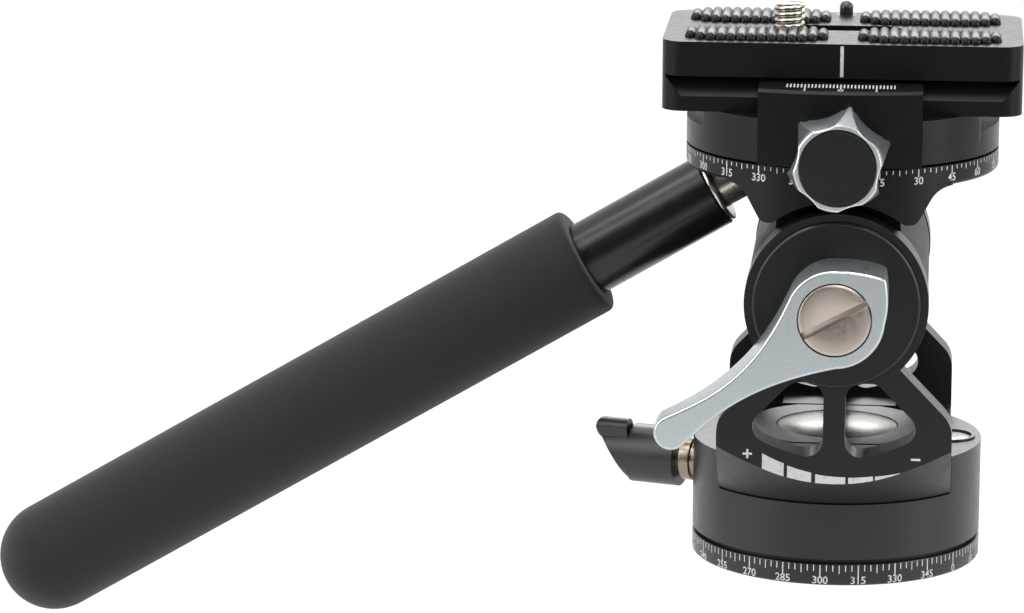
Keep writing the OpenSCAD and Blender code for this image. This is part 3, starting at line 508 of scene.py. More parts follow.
class Bench:
    """Modelling steps done by hand, in millimetres: primitives, edit-mode tools and applied modifiers."""

    @staticmethod
    def clear() -> None:
        """Leave edit mode and deselect everything."""
        if bpy.context.object is not None and bpy.context.object.mode != "OBJECT":
            bpy.ops.object.mode_set(mode="OBJECT")
        bpy.ops.object.select_all(action="DESELECT")

    @staticmethod
    def take(piece: Piece) -> None:
        """Make one piece the only selected and the active one.

        Args:
            piece: The piece to take.
        """
        Bench.clear()
        piece.select_set(True)
        bpy.context.view_layer.objects.active = piece

    @staticmethod
    def edit(piece: Piece, mode: str = "FACE", action: str = "SELECT") -> None:
        """Open a piece in edit mode.

        Args:
            piece: The piece to open.
            mode: What is selected: VERT, EDGE or FACE.
            action: Whether all of it is selected or none.
        """
        Bench.take(piece)
        bpy.ops.object.mode_set(mode="EDIT")
        bpy.ops.mesh.select_mode(type=mode)
        bpy.ops.mesh.select_all(action=action)

    @staticmethod
    def pick(piece: Piece, test: Callable[[Vector], bool]) -> None:
        """Open a piece in edit mode with the corners selected that pass a test.

        Args:
            piece: The piece to open.
            test: Takes a corner's place, in millimetres.
        """
        Bench.edit(piece, "VERT", "DESELECT")
        Bench.done()
        for vertex in piece.data.vertices:
            vertex.select = test(vertex.co / MM)
        bpy.ops.object.mode_set(mode="EDIT")

    @staticmethod
    def done() -> None:
        """Go back to object mode."""
        bpy.ops.object.mode_set(mode="OBJECT")

    @staticmethod
    def close() -> None:
        """Merge doubles, turn the faces outwards and leave edit mode."""
        bpy.ops.mesh.select_all(action="SELECT")
        bpy.ops.mesh.remove_doubles(threshold=MERGE)
        bpy.ops.mesh.normals_make_consistent(inside=False)
        Bench.done()

    @staticmethod
    def modify(piece: Piece, kind: str, **settings: object) -> None:
        """Add a modifier, set it and apply it.

        Args:
            piece: The piece to change.
            kind: Type of the modifier.
            settings: Its settings.
        """
        Bench.take(piece)
        bpy.ops.object.modifier_add(type=kind)
        modifier = piece.modifiers[-1]
        for key, value in settings.items():
            setattr(modifier, key, value)
        bpy.ops.object.modifier_apply(modifier=modifier.name)

    @staticmethod
    def named(name: str) -> Piece:
        """Name the piece just added and put its place into its mesh.

        Args:
            name: Name of the piece.

        Returns:
            The piece.
        """
        piece = bpy.context.object
        piece.name = piece.data.name = name
        bpy.ops.object.transform_apply(location=True, rotation=True, scale=True)
        return piece

    @staticmethod
    def rod(name: str, radius: float, start: Point, end: Point, sides: int = 64) -> Piece:
        """Add a cylinder between two points.

        Args:
            name: Name of the piece.
            radius: Its radius.
            start: Centre of one end.
            end: Centre of the other end.
            sides: Sides of the cylinder.

        Returns:
            The new piece.
        """
        foot, head = Vector(start) * MM, Vector(end) * MM
        line = head - foot
        Bench.clear()
        bpy.ops.mesh.primitive_cylinder_add(vertices=sides, radius=radius * MM, depth=line.length,
                                            location=(foot + head) / 2,
                                            rotation=line.to_track_quat("Z", "Y").to_euler())
        return Bench.named(name)

    @staticmethod
    def block(name: str, low: Point, high: Point) -> Piece:
        """Add a box between two corners.

        Args:
            name: Name of the piece.
            low: Lowest corner.
            high: Highest corner.

        Returns:
            The new piece.
        """
        foot, head = Vector(low) * MM, Vector(high) * MM
        Bench.clear()
        bpy.ops.mesh.primitive_cube_add(size=1.0, location=(foot + head) / 2)
        bpy.context.object.scale = head - foot
        return Bench.named(name)

    @staticmethod
    def wire(name: str, points: Sequence[Vector]) -> Piece:
        """Extrude a chain of edges from point to point, and stay in edit mode.

        Args:
            name: Name of the piece.
            points: The points, in metres.

        Returns:
            The new piece.
        """
        Bench.clear()
        bpy.ops.mesh.primitive_plane_add(size=MM)
        piece = Bench.named(name)
        Bench.edit(piece, "VERT")
        bpy.ops.mesh.merge(type="CENTER")
        bpy.ops.transform.translate(value=points[0])
        for here, there in zip(points, points[1:]):
            bpy.ops.mesh.extrude_vertices_move(TRANSFORM_OT_translate={"value": there - here})
        return piece

    @staticmethod
    def lathe(name: str, profile: Sequence[Point], origin: Point, axis: Point, steps: int = 128) -> Piece:
        """Spin a profile into a turned piece.

        Args:
            name: Name of the piece.
            profile: Radius and height of each point, from end to end.
            origin: Where the axis has height zero.
            axis: Direction of the axis.
            steps: Steps of the full turn.

        Returns:
            The new piece, with its poles closed and its faces outwards.
        """
        up = Vector(axis).normalized()
        side = up.orthogonal().normalized()
        points = [(Vector(origin) + up * height + side * radius) * MM for radius, height in profile]
        piece = Bench.wire(name, points)
        bpy.ops.mesh.select_all(action="SELECT")
        bpy.ops.mesh.spin(steps=steps, angle=2 * math.pi, center=Vector(origin) * MM, axis=up)
        Bench.close()
        return piece

    @staticmethod
    def loft(name: str, rings: Sequence[Sequence[Point]]) -> Piece:
        """Extrude a closed outline from ring to ring.

        Args:
            name: Name of the piece.
            rings: Outlines of one length, from one end face to the other.

        Returns:
            The new piece.
        """
        Bench.clear()
        bpy.ops.mesh.primitive_circle_add(vertices=len(rings[0]), radius=MM, fill_type="NGON")
        piece = Bench.named(name)
        order = list(piece.data.polygons[0].vertices)
        for index, point in enumerate(rings[0]):
            piece.data.vertices[index].co = Vector(point) * MM
        for ring in rings[1:]:
            Bench.take(piece)
            bpy.ops.object.mode_set(mode="EDIT")
            bpy.ops.mesh.select_mode(type="FACE")
            bpy.ops.mesh.extrude_region_move()
            Bench.done()
            face = next(f for f in piece.data.polygons if f.select and len(f.vertices) == len(ring))
            for corner, index in zip(face.vertices, order):
                piece.data.vertices[corner].co = Vector(ring[index]) * MM
        Bench.edit(piece)
        Bench.close()
        return piece

    @staticmethod
    def prism(name: str, outline: Sequence[Point], shift: Point) -> Piece:
        """Extrude a flat outline along a straight line."""
        return Bench.loft(name, [outline, [Vector(point) + Vector(shift) for point in outline]])

    @staticmethod
    def node_copy(node: str, name: str, flat: float = 0.4) -> Piece:
        """Copy a CAD node's mesh, merge it and clear the flat faces' inner edges.

        Args:
            node: Name of the CAD node.
            name: Name of the new piece.
            flat: Largest angle, in degrees, over which faces count as flat.

        Returns:
            The new piece.
        """
        Bench.clear()
        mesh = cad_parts[node].data.copy()
        mesh.name = name
        mesh.materials.clear()
        piece = bpy.data.objects.new(name, mesh)
        bpy.context.collection.objects.link(piece)
        Bench.take(piece)
        bpy.ops.mesh.customdata_custom_splitnormals_clear()
        Bench.edit(piece)
        bpy.ops.mesh.remove_doubles(threshold=MERGE)
        bpy.ops.mesh.dissolve_limited(angle_limit=math.radians(flat))
        Bench.done()
        return piece

    @staticmethod
    def boolean(piece: Piece, tool: Piece, operation: str = "DIFFERENCE") -> None:
        """Cut a piece with a tool, keep what they share or unite them, and delete the tool.

        Args:
            piece: The piece to change.
            tool: The other piece, which is used up.
            operation: DIFFERENCE, INTERSECT or UNION.
        """
        Bench.modify(piece, "BOOLEAN", operation=operation, object=tool, solver="EXACT",
                     use_self=operation == "UNION")
        bpy.data.objects.remove(tool, do_unlink=True)

    @staticmethod
    def soften(piece: Piece, width: float, segments: int = 2, angle: float = 32.0, edge_slot: int = -1,
               clamp: bool = True) -> None:
        """Bevel a piece's sharp edges.

        Args:
            piece: The piece to change.
            width: Width of the bevel.
            segments: Steps across the bevel.
            angle: Smallest angle, in degrees, of an edge that is bevelled.
            edge_slot: Material slot for the bevels, or -1 for that of their neighbours.
            clamp: Whether short edges may narrow the bevel.
        """
        Bench.modify(piece, "BEVEL", width=width * MM, segments=segments, limit_method="ANGLE",
                     angle_limit=math.radians(angle), material=edge_slot, use_clamp_overlap=clamp,
                     miter_outer="MITER_ARC")

    @staticmethod
    def smooth(piece: Piece, angle: float = 28.0) -> Piece:
        """Shade a piece smooth, except across sharp edges.

        Args:
            piece: The piece to shade.
            angle: Smallest angle, in degrees, of an edge that stays sharp.

        Returns:
            The piece.
        """
        Bench.take(piece)
        bpy.ops.object.shade_smooth_by_angle(angle=math.radians(angle))
        return piece

    @staticmethod
    def even(piece: Piece) -> Piece:
        """Weight the shading by face area, so that broad faces stay plain beside their bevels."""
        Bench.modify(piece, "WEIGHTED_NORMAL", keep_sharp=True)
        return piece

    @staticmethod
    def thicken(piece: Piece, thickness: float) -> Piece:
        """Give a thin sheet its thickness, half to each side."""
        Bench.modify(piece, "SOLIDIFY", thickness=thickness * MM, offset=0.0)
        return piece

    @staticmethod
    def dress(piece: Piece, *materials: Material) -> Piece:
        """Put materials into a piece's slots.

        Args:
            piece: The piece to dress.
            materials: The materials, in order.

        Returns:
            The piece.
        """
        piece.data.materials.clear()
        for material in materials:
            piece.data.materials.append(material)
        return piece

    @staticmethod
    def join(name: str, pieces: Sequence[Piece]) -> Piece:
        """Join pieces into one.

        Args:
            name: Name of the joined piece.
            pieces: The pieces, the first of which stays.

        Returns:
            The joined piece.
        """
        Bench.take(pieces[0])
        for piece in pieces:
            piece.select_set(True)
        bpy.ops.object.join()
        pieces[0].name = pieces[0].data.name = name
        return pieces[0]

    @staticmethod
    def twin(piece: Piece, turn: Matrix) -> Piece:
        """Copy a piece with a mesh of its own.

        Args:
            piece: The piece to copy.
            turn: The matrix that moves the copy.

        Returns:
            The copy.
        """
        copy = bpy.data.objects.new(piece.name, piece.data.copy())
        copy.data.transform(turn)
        bpy.context.collection.objects.link(copy)
        return copy

    @staticmethod
    def words(body: str, height: float, size: float = 1.38, swell: float = 0.022) -> Piece:
        """Add a short flat sign as a mesh, centred on the origin in X and Y.

        Args:
            body: The digits or sign.
            height: Height of a digit.
            size: Font size, in digit heights.
            swell: How far the strokes are widened, in digit heights.

        Returns:
            The new piece.
        """
        Bench.clear()
        bpy.ops.object.text_add()
        text = bpy.context.object.data
        text.body = body
        text.size = height * MM * size
        text.resolution_u = 3
        text.offset = height * MM * swell
        text.align_x = "CENTER"
        bpy.ops.object.convert(target="MESH")
        for vertex in bpy.context.object.data.vertices:
            vertex.co.y -= height * MM / 2
        return bpy.context.object


def hand_over(piece: Piece, body: Body, slot: Slot, *nodes: str) -> Piece:
    """Put a finished piece on its body and in place of CAD nodes.

    Args:
        piece: The finished piece.
        body: The body that it rides on.
        slot: The record's slot for its finish; not used.
        nodes: CAD nodes that it stands for.

    Returns:
        The piece.
    """
    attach(piece, body.value)
    if nodes:
        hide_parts(*nodes)
    log.info("%s rides on %s with %d faces", piece.name, body.value, len(piece.data.polygons))
    return piece


def dressed(piece: Piece, material: Material, body: Body, slot: Slot, *nodes: str,
            angle: float = 28.0) -> Piece:
    """Dress a piece in one finish, shade it smooth up to an angle and hand it over."""
    return hand_over(Bench.smooth(Bench.dress(piece, material), angle), body, slot, *nodes)


def coat(material: Material, *nodes: str) -> None:
    """Give CAD nodes that stay a finish.

    Args:
        material: The finish.
        nodes: Names of the CAD nodes.
    """
    for node in nodes:
        Bench.dress(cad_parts[node], material)
        log.info("%s keeps its CAD shape", node)


def tint(piece: Piece, index: int, test: Callable[[Vector, Vector], bool]) -> None:
    """Give the faces that pass a test another of the piece's finishes.

    Args:
        piece: The piece to change.
        index: The finish's slot.
        test: Takes a face's centre, in millimetres, and its normal.
    """
    for face in piece.data.polygons:
        if test(face.center / MM, face.normal):
            face.material_index = index


def machined(node: str, name: str, width: float, body: Body, slot: Slot, *materials: Material) -> Piece:
    """Replace a CAD node with a copy whose edges are broken as a machinist does.

    Args:
        node: Name of the CAD node.
        name: Name of the new piece.
        width: Width of the broken edges.
        body: The body that it rides on.
        slot: The record's slot for its finish.
        materials: Finish of the faces, with that of the edges last where there is more than one.

    Returns:
        The new piece.
    """
    piece = Bench.node_copy(node, name)
    Bench.dress(piece, *materials)
    Bench.soften(piece, width, edge_slot=len(materials) - 1 if len(materials) > 1 else -1)
    Bench.even(Bench.smooth(piece))
    return hand_over(piece, body, slot, node)


def arc(centre: Point, radius: float, start: float, stop: float, steps: int,
        rise: Optional[float] = None) -> list[tuple[float, float]]:
    """Lay points on an arc.

    Args:
        centre: The arc's centre.
        radius: Its radius.
        start: Where it starts, in degrees.
        stop: Where it stops, in degrees.
        steps: Steps from its start to its stop.
        rise: Its radius upwards, where that is another.

    Returns:
        The points.
    """
    height = radius if rise is None else rise
    angles = [math.radians(start + (stop - start) * i / steps) for i in range(steps + 1)]
    return [(centre[0] + radius * math.cos(angle), centre[1] + height * math.sin(angle)) for angle in angles]


def bezier(start: Point, leave: Point, arrive: Point, stop: Point, steps: int) -> list[tuple[float, float]]:
    """Lay points on a cubic curve.

    Args:
        start: Its first point.
        leave: The point that it leaves towards.
        arrive: The point that it arrives from.
        stop: Its last point.
        steps: Steps from the first point to the last.

    Returns:
        The points.
    """
    points = []
    for i in range(steps + 1):
        t = i / steps
        s = 1 - t
        weights = (s * s * s, 3 * s * s * t, 3 * s * t * t, t * t * t)
        pulls = list(zip(weights, (start, leave, arrive, stop)))
        points.append(tuple(sum(weight * point[k] for weight, point in pulls) for k in (0, 1)))
    return points


@dataclass
class Dial:
    """Degree marks and numbers printed round a ring."""

    radius: float
    top: float
    front: float
    lengths: tuple[float, float, float]
    numeral_mid: float
    numeral_height: float = 1.6
    line: float = 0.2
    bold: float = 1.25
    top_gap: float = 0.12
    step: float = 2.5
    half: float = 7.5
    whole: int = 15

    def place(self, label: float) -> float:
        """Return the angle about Z, in radians, of a label, from the front towards +X."""
        return math.radians(label - self.front)

    def tick(self, label: float) -> Piece:
        """Model one mark.

        Args:
            label: Its place on the scale, in degrees.

        Returns:
            The mark.
        """
        whole = label % self.whole == 0
        length = self.lengths[(label % self.half == 0) + whole]
        width = self.line * (self.bold if whole else 1.0)
        mark = Bench.block("tick", (-width / 2, -self.radius - PRINT_PROUD, self.top - length),
                           (width / 2, PRINT_SINK - self.radius, self.top - self.top_gap))
        mark.data.transform(Matrix.Rotation(self.place(label), 4, "Z"))
        return mark

    def numeral(self, label: int) -> Piece:
        """Model one number, wrapped round the ring.

        Args:
            label: The number.

        Returns:
            The number.
        """
        sign = Bench.words(str(label), self.numeral_height)
        turn = self.place(label)
        reach = (self.radius + PRINT_PROUD / 2) * MM
        for vertex in sign.data.vertices:
            angle = turn + vertex.co.x / reach
            height = vertex.co.y + self.numeral_mid * MM
            vertex.co = Vector((reach * math.sin(angle), -reach * math.cos(angle), height))
        return Bench.thicken(sign, PRINT_PROUD)

    def marks(self) -> list[Piece]:
        """Return all marks and numbers of the ring."""
        ticks = [self.tick(i * self.step) for i in range(round(360 / self.step))]
        return ticks + [self.numeral(label) for label in range(0, 360, self.whole)]


@dataclass
class SubAssembly:
    """A group of pieces that is built with the shared finishes."""

    finishes: Finishes

    def build(self) -> None:
        """Model and dress the pieces."""
        raise NotImplementedError

    def print_marks(self, name: str, marks: Sequence[Piece], body: Body) -> None:
        """Join marks into one white print on a black piece."""
        hand_over(Bench.dress(Bench.join(name, marks), self.finishes.white), body, Slot.BLACK)


@dataclass
class PanBase(SubAssembly):
    """The base dial and the pan housing with its domed cap and level."""

    radius: float = 30.0
    dial_edge: float = 0.3
    dial_marks_top: float = 4.5
    housing_edge: float = 0.35
    cap_radius: float = 12.45
    cap_floor: float = 25.6
    cap_edge: float = 26.9
    dome: float = 1.0
    dome_steps: int = 16
    # Height, depth, overhang and half width of the near-black strip that paints the shadow line under the
    # uprights' feet.
    seam_level: float = 17.5
    seam_height: float = 0.36
    seam_depth: float = 0.8
    seam_proud: float = 0.015
    seam_width: float = 23.7
    level: tuple[float, float] = (23.4, 0.0)
    level_radius: float = 4.68
    level_floor: float = 22.0
    level_top: float = 25.25
    level_dome: float = 0.45
    ring_radii: tuple[float, float] = (1.75, 2.05)
    ring_height: float = 0.2
    ring_slope: tuple[float, float] = (0.02, 0.025)
    bubble_radius: float = 1.15
    bubble_rise: float = 0.11
    bubble_sink: float = 0.12
    bubble_shift: tuple[float, float] = (0.5, -0.3)

    def build(self) -> None:
        """Model and dress the pieces."""
        looks = self.finishes
        machined("base_dial", "base_dial_ring", self.dial_edge, Body.BASE, Slot.BLACK, looks.black_drum)
        machined("pan_housing", "pan_housing_drum", self.housing_edge, Body.PAN, Slot.BLACK, looks.black_drum)
        dial = Dial(self.radius, self.dial_marks_top, front=304.6, lengths=(1.4, 1.85, 2.5), numeral_mid=1.28)
        self.print_marks("base_dial_marks", dial.marks(), Body.BASE)
        self.domed_cap()
        self.seam_gaskets()
        self.bubble_level()
        coat(looks.steel, "pan_spindle", "pan_nut", "upright_screws", "tripod_bush")
        coat(looks.friction, "pan_washer")
        coat(looks.bronze, "brake_shoe")

    def domed_cap(self) -> None:
        """Turn the bright domed cap over the spindle."""
        r = self.cap_radius
        shares = [1 - i / self.dome_steps for i in range(self.dome_steps + 1)]
        dome = [(r * share, self.cap_edge + self.dome * (1 - share ** 2)) for share in shares]
        cap = Bench.lathe("pan_cap_dome", [(0, self.cap_floor), (r, self.cap_floor)] + dome, ORIGIN, UP, 160)
        dressed(cap, self.finishes.nickel, Body.PAN, Slot.NICKEL, "pan_cap", angle=40)

    def seam_gaskets(self) -> None:
        """Turn a thin near-black ring and keep the two lengths of it that lie under the uprights' feet, as a
        painted shadow line along the seam.
        """
        low, high = self.seam_level - self.seam_height, self.seam_level
        inner, outer = self.radius - self.seam_depth, self.radius + self.seam_proud
        profile = [(inner, low), (outer, low), (outer, high), (inner, high), (inner, low)]
        shadow_line = Bench.lathe("upright_seam_shadow_strips", profile, ORIGIN, UP, 192)
        x, y = self.seam_width, self.radius + 1
        Bench.boolean(shadow_line, Bench.block("kept", (-x, -y, low - 1), (x, y, high + 1)), "INTERSECT")
        dressed(shadow_line, self.finishes.seam, Body.PAN, Slot.RUBBER)

    def bubble_level(self) -> None:
        """Turn the level's domed vial, its ring mark and its bubble."""
        looks, x, y = self.finishes, *self.level
        r, top, low = self.level_radius, self.level_top, self.level_top - self.ring_height
        dome = arc((0, top - self.level_dome), r, 0, 90, 9, self.level_dome)
        profile = [(0, self.level_floor), (r, self.level_floor)] + dome
        vial = Bench.lathe("level_vial_dome", profile, (x, y, 0), UP, 64)
        dressed(vial, looks.liquid, Body.PAN, Slot.VIAL, "level_vial", angle=35)
        (inner, outer), (inner_gap, outer_gap) = self.ring_radii, self.ring_slope
        profile = [(inner, low), (outer, low), (outer, top - outer_gap), (inner, top - inner_gap)]
        profile.append(profile[0])
        ring = Bench.lathe("level_ring_mark", profile, (x, y, 0), UP, 64)
        dressed(ring, looks.plastic, Body.PAN, Slot.PLASTIC)
        bead = arc((0, top - self.bubble_sink), self.bubble_radius, -90, 90, 12, self.bubble_rise)
        place = (x + self.bubble_shift[0], y + self.bubble_shift[1], 0)
        dressed(Bench.lathe("level_bubble", bead, place, UP, 40), looks.bubble, Body.PAN, Slot.VIAL, angle=60)
        coat(looks.plastic, "level_bezel")


@dataclass
class PanLock(SubAssembly):
    """The pan lock's stud and winged knob."""

    edge: float = 0.7
    stud_edge: float = 0.25

    def build(self) -> None:
        """Model and dress the pieces."""
        looks = self.finishes
        machined("pan_lock_knob", "pan_lock_wing", self.edge, Body.PAN_LOCK, Slot.PLASTIC, looks.plastic)
        machined("pan_lock_stud", "pan_lock_pin", self.stud_edge, Body.PAN_LOCK, Slot.STAINLESS,
                 looks.lock_stud)


@dataclass
class Uprights(SubAssembly):
    """The two uprights, their round caps, the tilt shaft and the drag scale."""

    arm_edge: float = 0.4
    cap_edge: float = 0.12
    shaft_edge: float = 0.3
    face: float = 35.5
    scale_radius: float = 37.1
    # Left and right end of each wedge of the scale, with its inner radius at both
    wedges: tuple[tuple[float, float, float, float], ...] = (
        (-14.4, -10.0, 34.2, 34.5),
        (-9.3, -4.4, 34.7, 35.1),
        (-3.6, 2.5, 35.3, 35.7),
        (3.1, 8.1, 35.8, 36.2),
        (8.5, 13.5, 36.3, 37.0),
    )
    wedge_steps: int = 6
    sign_radius: float = 35.7
    sign_length: float = 1.9
    sign_width: float = 0.45
    plus_x: float = -17.4
    minus_x: float = 16.6

    def build(self) -> None:
        """Model and dress the pieces."""
        looks = self.finishes
        # The uprights' and caps' broken edges take the lighter edge copy of the black, a painted highlight.
        black = (Body.PAN, Slot.BLACK, looks.black_arm, looks.black_edge)
        for side in ("front", "rear"):
            machined(f"{side}_upright", f"{side}_upright_arm", self.arm_edge, *black)
            machined(f"{side}_cap", f"{side}_cap_disc", self.cap_edge, *black)
        machined("tilt_shaft", "tilt_shaft_pin", self.shaft_edge, Body.PAN, Slot.STEEL, looks.steel)
        self.drag_scale()

    def drag_scale(self) -> None:
        """Print the five-step wedge of the drag scale, with plain plus and minus signs at its ends."""
        marks = [self.mark("wedge", self.wedge(*wedge)) for wedge in self.wedges]
        far, near = self.sign_length / 2, self.sign_width / 2
        minus = [(-far, -near), (far, -near), (far, near), (-far, near)]
        plus, arm = [], [(-far, -near), (-near, -near), (-near, -far)]
        for _ in range(4):
            plus += arm
            arm = [(-rise, across) for across, rise in arm]
        for middle, sign in ((self.plus_x, plus), (self.minus_x, minus)):
            level = self.below(middle, self.sign_radius)
            marks.append(self.mark("sign", [(middle + across, level + rise) for across, rise in sign]))
        self.print_marks("drag_scale_marks", marks, Body.PAN)

    def wedge(self, left: float, right: float, left_radius: float, right_radius: float) -> list[Point]:
        """Draw one wedge of the scale.

        Args:
            left: Its left end.
            right: Its right end.
            left_radius: Its inner radius on the left.
            right_radius: Its inner radius on the right.

        Returns:
            Points of its outline, about the tilt axis.
        """
        shares = [i / self.wedge_steps for i in range(self.wedge_steps + 1)]
        inner = [(left + (right - left) * s, left_radius + (right_radius - left_radius) * s) for s in shares]
        outline = [(x, self.below(x, self.scale_radius)) for x, _ in inner]
        return outline + [(x, self.below(x, radius)) for x, radius in reversed(inner)]

    def below(self, x: float, radius: float) -> float:
        """Return the height on the lower half of a circle about the tilt axis."""
        return -math.sqrt(radius ** 2 - x * x)

    def mark(self, name: str, outline: Sequence[Point]) -> Piece:
        """Print an outline about the tilt axis on the front upright's face."""
        points = [(x, -self.face - PRINT_PROUD, TILT_HEIGHT + rise) for x, rise in outline]
        return Bench.prism(name, points, (0, PRINT_SINK, 0))


@dataclass
class DragLever(SubAssembly):
    """The drag lever with its slotted screw."""

    hub: float = 10.0
    back: float = 36.55
    front: float = 50.25
    tip: tuple[float, float] = (-32.2, -23.8)
    tip_radius: float = 3.5
    tip_thickness: float = 8.0
    thin_start: float = 0.5
    thin_bend: float = 0.75
    thin_reach: float = 30.0
    bevel: float = 0.6
    bore: float = 5.05
    screw_radius: float = 7.3
    screw_height: float = 2.5
    screw_gap: float = 0.2
    sink_floor: float = 0.05
    shank_radius: float = 3.0
    shank_length: float = 8.0
    slot_width: float = 1.5
    slot_depth: float = 0.55
    slot_angle: float = 28.0

    def near_tip(self, across: float, up: float) -> tuple[float, float]:
        """Return a point near the tip, in tip radii from its centre."""
        return (self.tip[0] + across * self.tip_radius, self.tip[1] + up * self.tip_radius)

    def outline(self) -> list[tuple[float, float]]:
        """Draw the lever's front, from the hub's square corner round by the tip.

        Returns:
            Points of the outline, about the tilt axis.
        """
        near = self.near_tip
        upper = bezier((-9.7, 2.8), (-17.1, -13.7), near(1.62, 1.91), near(-0.44, 0.89), 26)
        lower = bezier(near(0.73, -0.68), near(2.52, 1.07), (-17.4, -13.9), (0.5, -9.95), 26)
        corner = bezier((2.5, 9.98), (5.0, 9.75), (7.0, 9.4), (8.9, 8.85), 6)
        corner += bezier((9.3, 8.7), (9.9, 8.4), (10.1, 8.2), (10.2, 7.4), 5)
        corner += bezier((10.35, 6.2), (10.6, 3.6), (10.65, 2.0), (9.95, -0.9), 8)
        hub_right = arc(ORIGIN, self.hub, -8.0, -84.0, 14)
        tip_arc = arc(self.tip, self.tip_radius, -43.0, -243.7, 24)
        hub_left = arc(ORIGIN, self.hub, 160.0, 84.0, 14)
        return corner + hub_right + lower[::-1] + tip_arc[1:-1] + upper[::-1] + hub_left

    def hollow(self) -> Piece:
        """Model the tool that thins the arm from behind.

        Returns:
            The tool.
        """
        length = math.hypot(*self.tip)
        thin = self.front - self.back - self.tip_thickness
        start, bend, end = self.thin_start * length, self.thin_bend * length, length + 2 * self.tip_radius
        curve = bezier((start, 0), (bend, 0), (bend, thin), (end, thin), 16)
        along = Vector((self.tip[0], 0, self.tip[1])) / length
        across = Vector((-along.z, 0, along.x)) * self.thin_reach
        base = Vector((0, -self.back, TILT_HEIGHT)) - across
        profile = [(start, -1)] + curve + [(end, -1)]
        side = [base + along * reach - Vector((0, depth, 0)) for reach, depth in profile]
        return Bench.prism("hollow", side, across * 2)

    def build(self) -> None:
        """Model and dress the pieces."""
        looks = self.finishes
        y, z = -self.front, TILT_HEIGHT
        face = [(x, y, z + rise) for x, rise in self.outline()]
        lever = Bench.prism("drag_lever_arm", face, (0, self.front - self.back, 0))
        Bench.boolean(lever, self.hollow())
        Bench.dress(lever, looks.silver, looks.silver_edge)
        Bench.soften(lever, self.bevel, segments=4, angle=40.0, edge_slot=1, clamp=False)
        # Every face goes back to the plain silver except the bevels that face up and to the front, which keep
        # the darker edge copy: painted shade on the lever's upper edge.
        tint(lever, 0, lambda centre, normal: normal.z < 0.3 or normal.y > -0.1)
        Bench.boolean(lever, Bench.rod("bore", self.bore, (0, y - 1, z), (0, 1 - self.back, z)))
        floor = y + self.screw_height + self.sink_floor
        sink = Bench.rod("sink", self.screw_radius + self.screw_gap, (0, y - 1, z), (0, floor, z), 128)
        # The counterbore's walls take the black plastic finish: painted shade in the gap round the screw.
        Bench.boolean(lever, Bench.dress(sink, looks.plastic))
        hand_over(Bench.even(Bench.smooth(lever, 24)), Body.LEVER, Slot.SILVER, "drag_lever")
        self.slotted_screw()

    def slotted_screw(self) -> None:
        """Turn the screw's head and shank and mill its slot."""
        r, h, y = self.screw_radius, self.screw_height, -self.front
        shank = [(0, -self.shank_length), (self.shank_radius, -self.shank_length), (self.shank_radius, 0)]
        head = [(r, 0), (r, h - 0.45), (r - 0.12, h - 0.2), (r - 0.4, h - 0.05), (r - 0.8, h), (0, h)]
        screw = Bench.lathe("lever_slotted_screw", shank + head, (0, y + h, TILT_HEIGHT), FRONT)
        half, floor = self.slot_width / 2, y + h * self.slot_depth
        tool = Bench.block("slot", (-r - 1, y - 1, -half), (r + 1, floor, half))
        turn = Matrix.Rotation(-math.radians(self.slot_angle), 4, "Y")
        tool.data.transform(Matrix.Translation((0, 0, TILT_HEIGHT * MM)) @ turn)
        Bench.dress(screw, self.finishes.lever_screw)
        # The slot's walls and floor take the darker steel, painted shade in the slot.
        Bench.boolean(screw, Bench.dress(tool, self.finishes.screw_slot))
        Bench.soften(screw, 0.1, angle=50.0)
        hand_over(Bench.smooth(screw, 30), Body.PAN, Slot.STAINLESS, "lever_screw")


@dataclass
class TiltBracket(SubAssembly):
    """The tilt drum with the upper dial ring."""

    edge: float = 0.3
    drum: float = 18.6
    ring_radius: float = 32.2
    ring_marks_top: float = 86.8

    def build(self) -> None:
        """Model and dress the pieces."""
        looks = self.finishes
        bracket = machined("tilt_bracket", "tilt_bracket_drum", self.edge, Body.TILT, Slot.BLACK, looks.black,
                           looks.black_matt, looks.black)
        # Faces within the drum's radius take the duller copy of the black: painted shade on the drum between
        # the uprights.
        tint(bracket, 1, lambda centre, normal: math.hypot(centre.x, centre.z - TILT_HEIGHT) < self.drum)
        dial = Dial(self.ring_radius, self.ring_marks_top, front=0.3, lengths=(0.9, 1.25, 1.75),
                    numeral_mid=84.4)
        self.print_marks("upper_dial_marks", dial.marks(), Body.TILT)
        coat(looks.bronze, "tilt_bushes")
        coat(looks.friction, "friction_discs", "clamp_washer")
        coat(looks.steel, "clamp_pivot")


@dataclass
class Handle(SubAssembly):
    """The pan handle: turned end, tube and foam grip."""

    origin: tuple[float, float, float] = (-26.6, 8.0, 75.0)
    slope: float = 30.5
    tube_show: float = 30.8
    tube_edge: float = 0.4
    stud_edge: float = 0.3
    grip_radius: float = 11.72
    grip_length: float = 144.5
    rim: float = 1.3
    side_steps: int = 60
    bore: float = 7.93
    bore_depth: float = 126.02

    def build(self) -> None:
        """Model and dress the pieces."""
        looks = self.finishes
        self.foam_grip()
        machined("handle_tube", "handle_tube_body", self.tube_edge, Body.TILT, Slot.TUBE, looks.tube)
        machined("handle_stud", "handle_end_stud", self.stud_edge, Body.TILT, Slot.STAINLESS,
                 looks.handle_end)

    def foam_grip(self) -> None:
        """Turn the foam grip with its bore, its rounded rim and its round end."""
        slope = math.radians(self.slope)
        r, start = self.grip_radius, -self.tube_show
        shoulder, inner = start - self.rim, start - self.bore_depth
        length = self.grip_length - r - self.rim
        bore = [(0, inner), (self.bore, inner), (self.bore, start)]
        rim = arc((r - self.rim, shoulder), self.rim, 90, 0, 6)
        side = [(r, shoulder - length * (i + 1) / self.side_steps) for i in range(self.side_steps)]
        tip = arc((0, start - self.grip_length + r), r, -5, -90, 17)
        grip = Bench.lathe("handle_foam_grip", bore + rim + side + tip, self.origin,
                           (math.cos(slope), 0, math.sin(slope)), 144)
        grip = dressed(grip, self.finishes.foam, Body.TILT, Slot.FOAM, "handle_grip", angle=50)


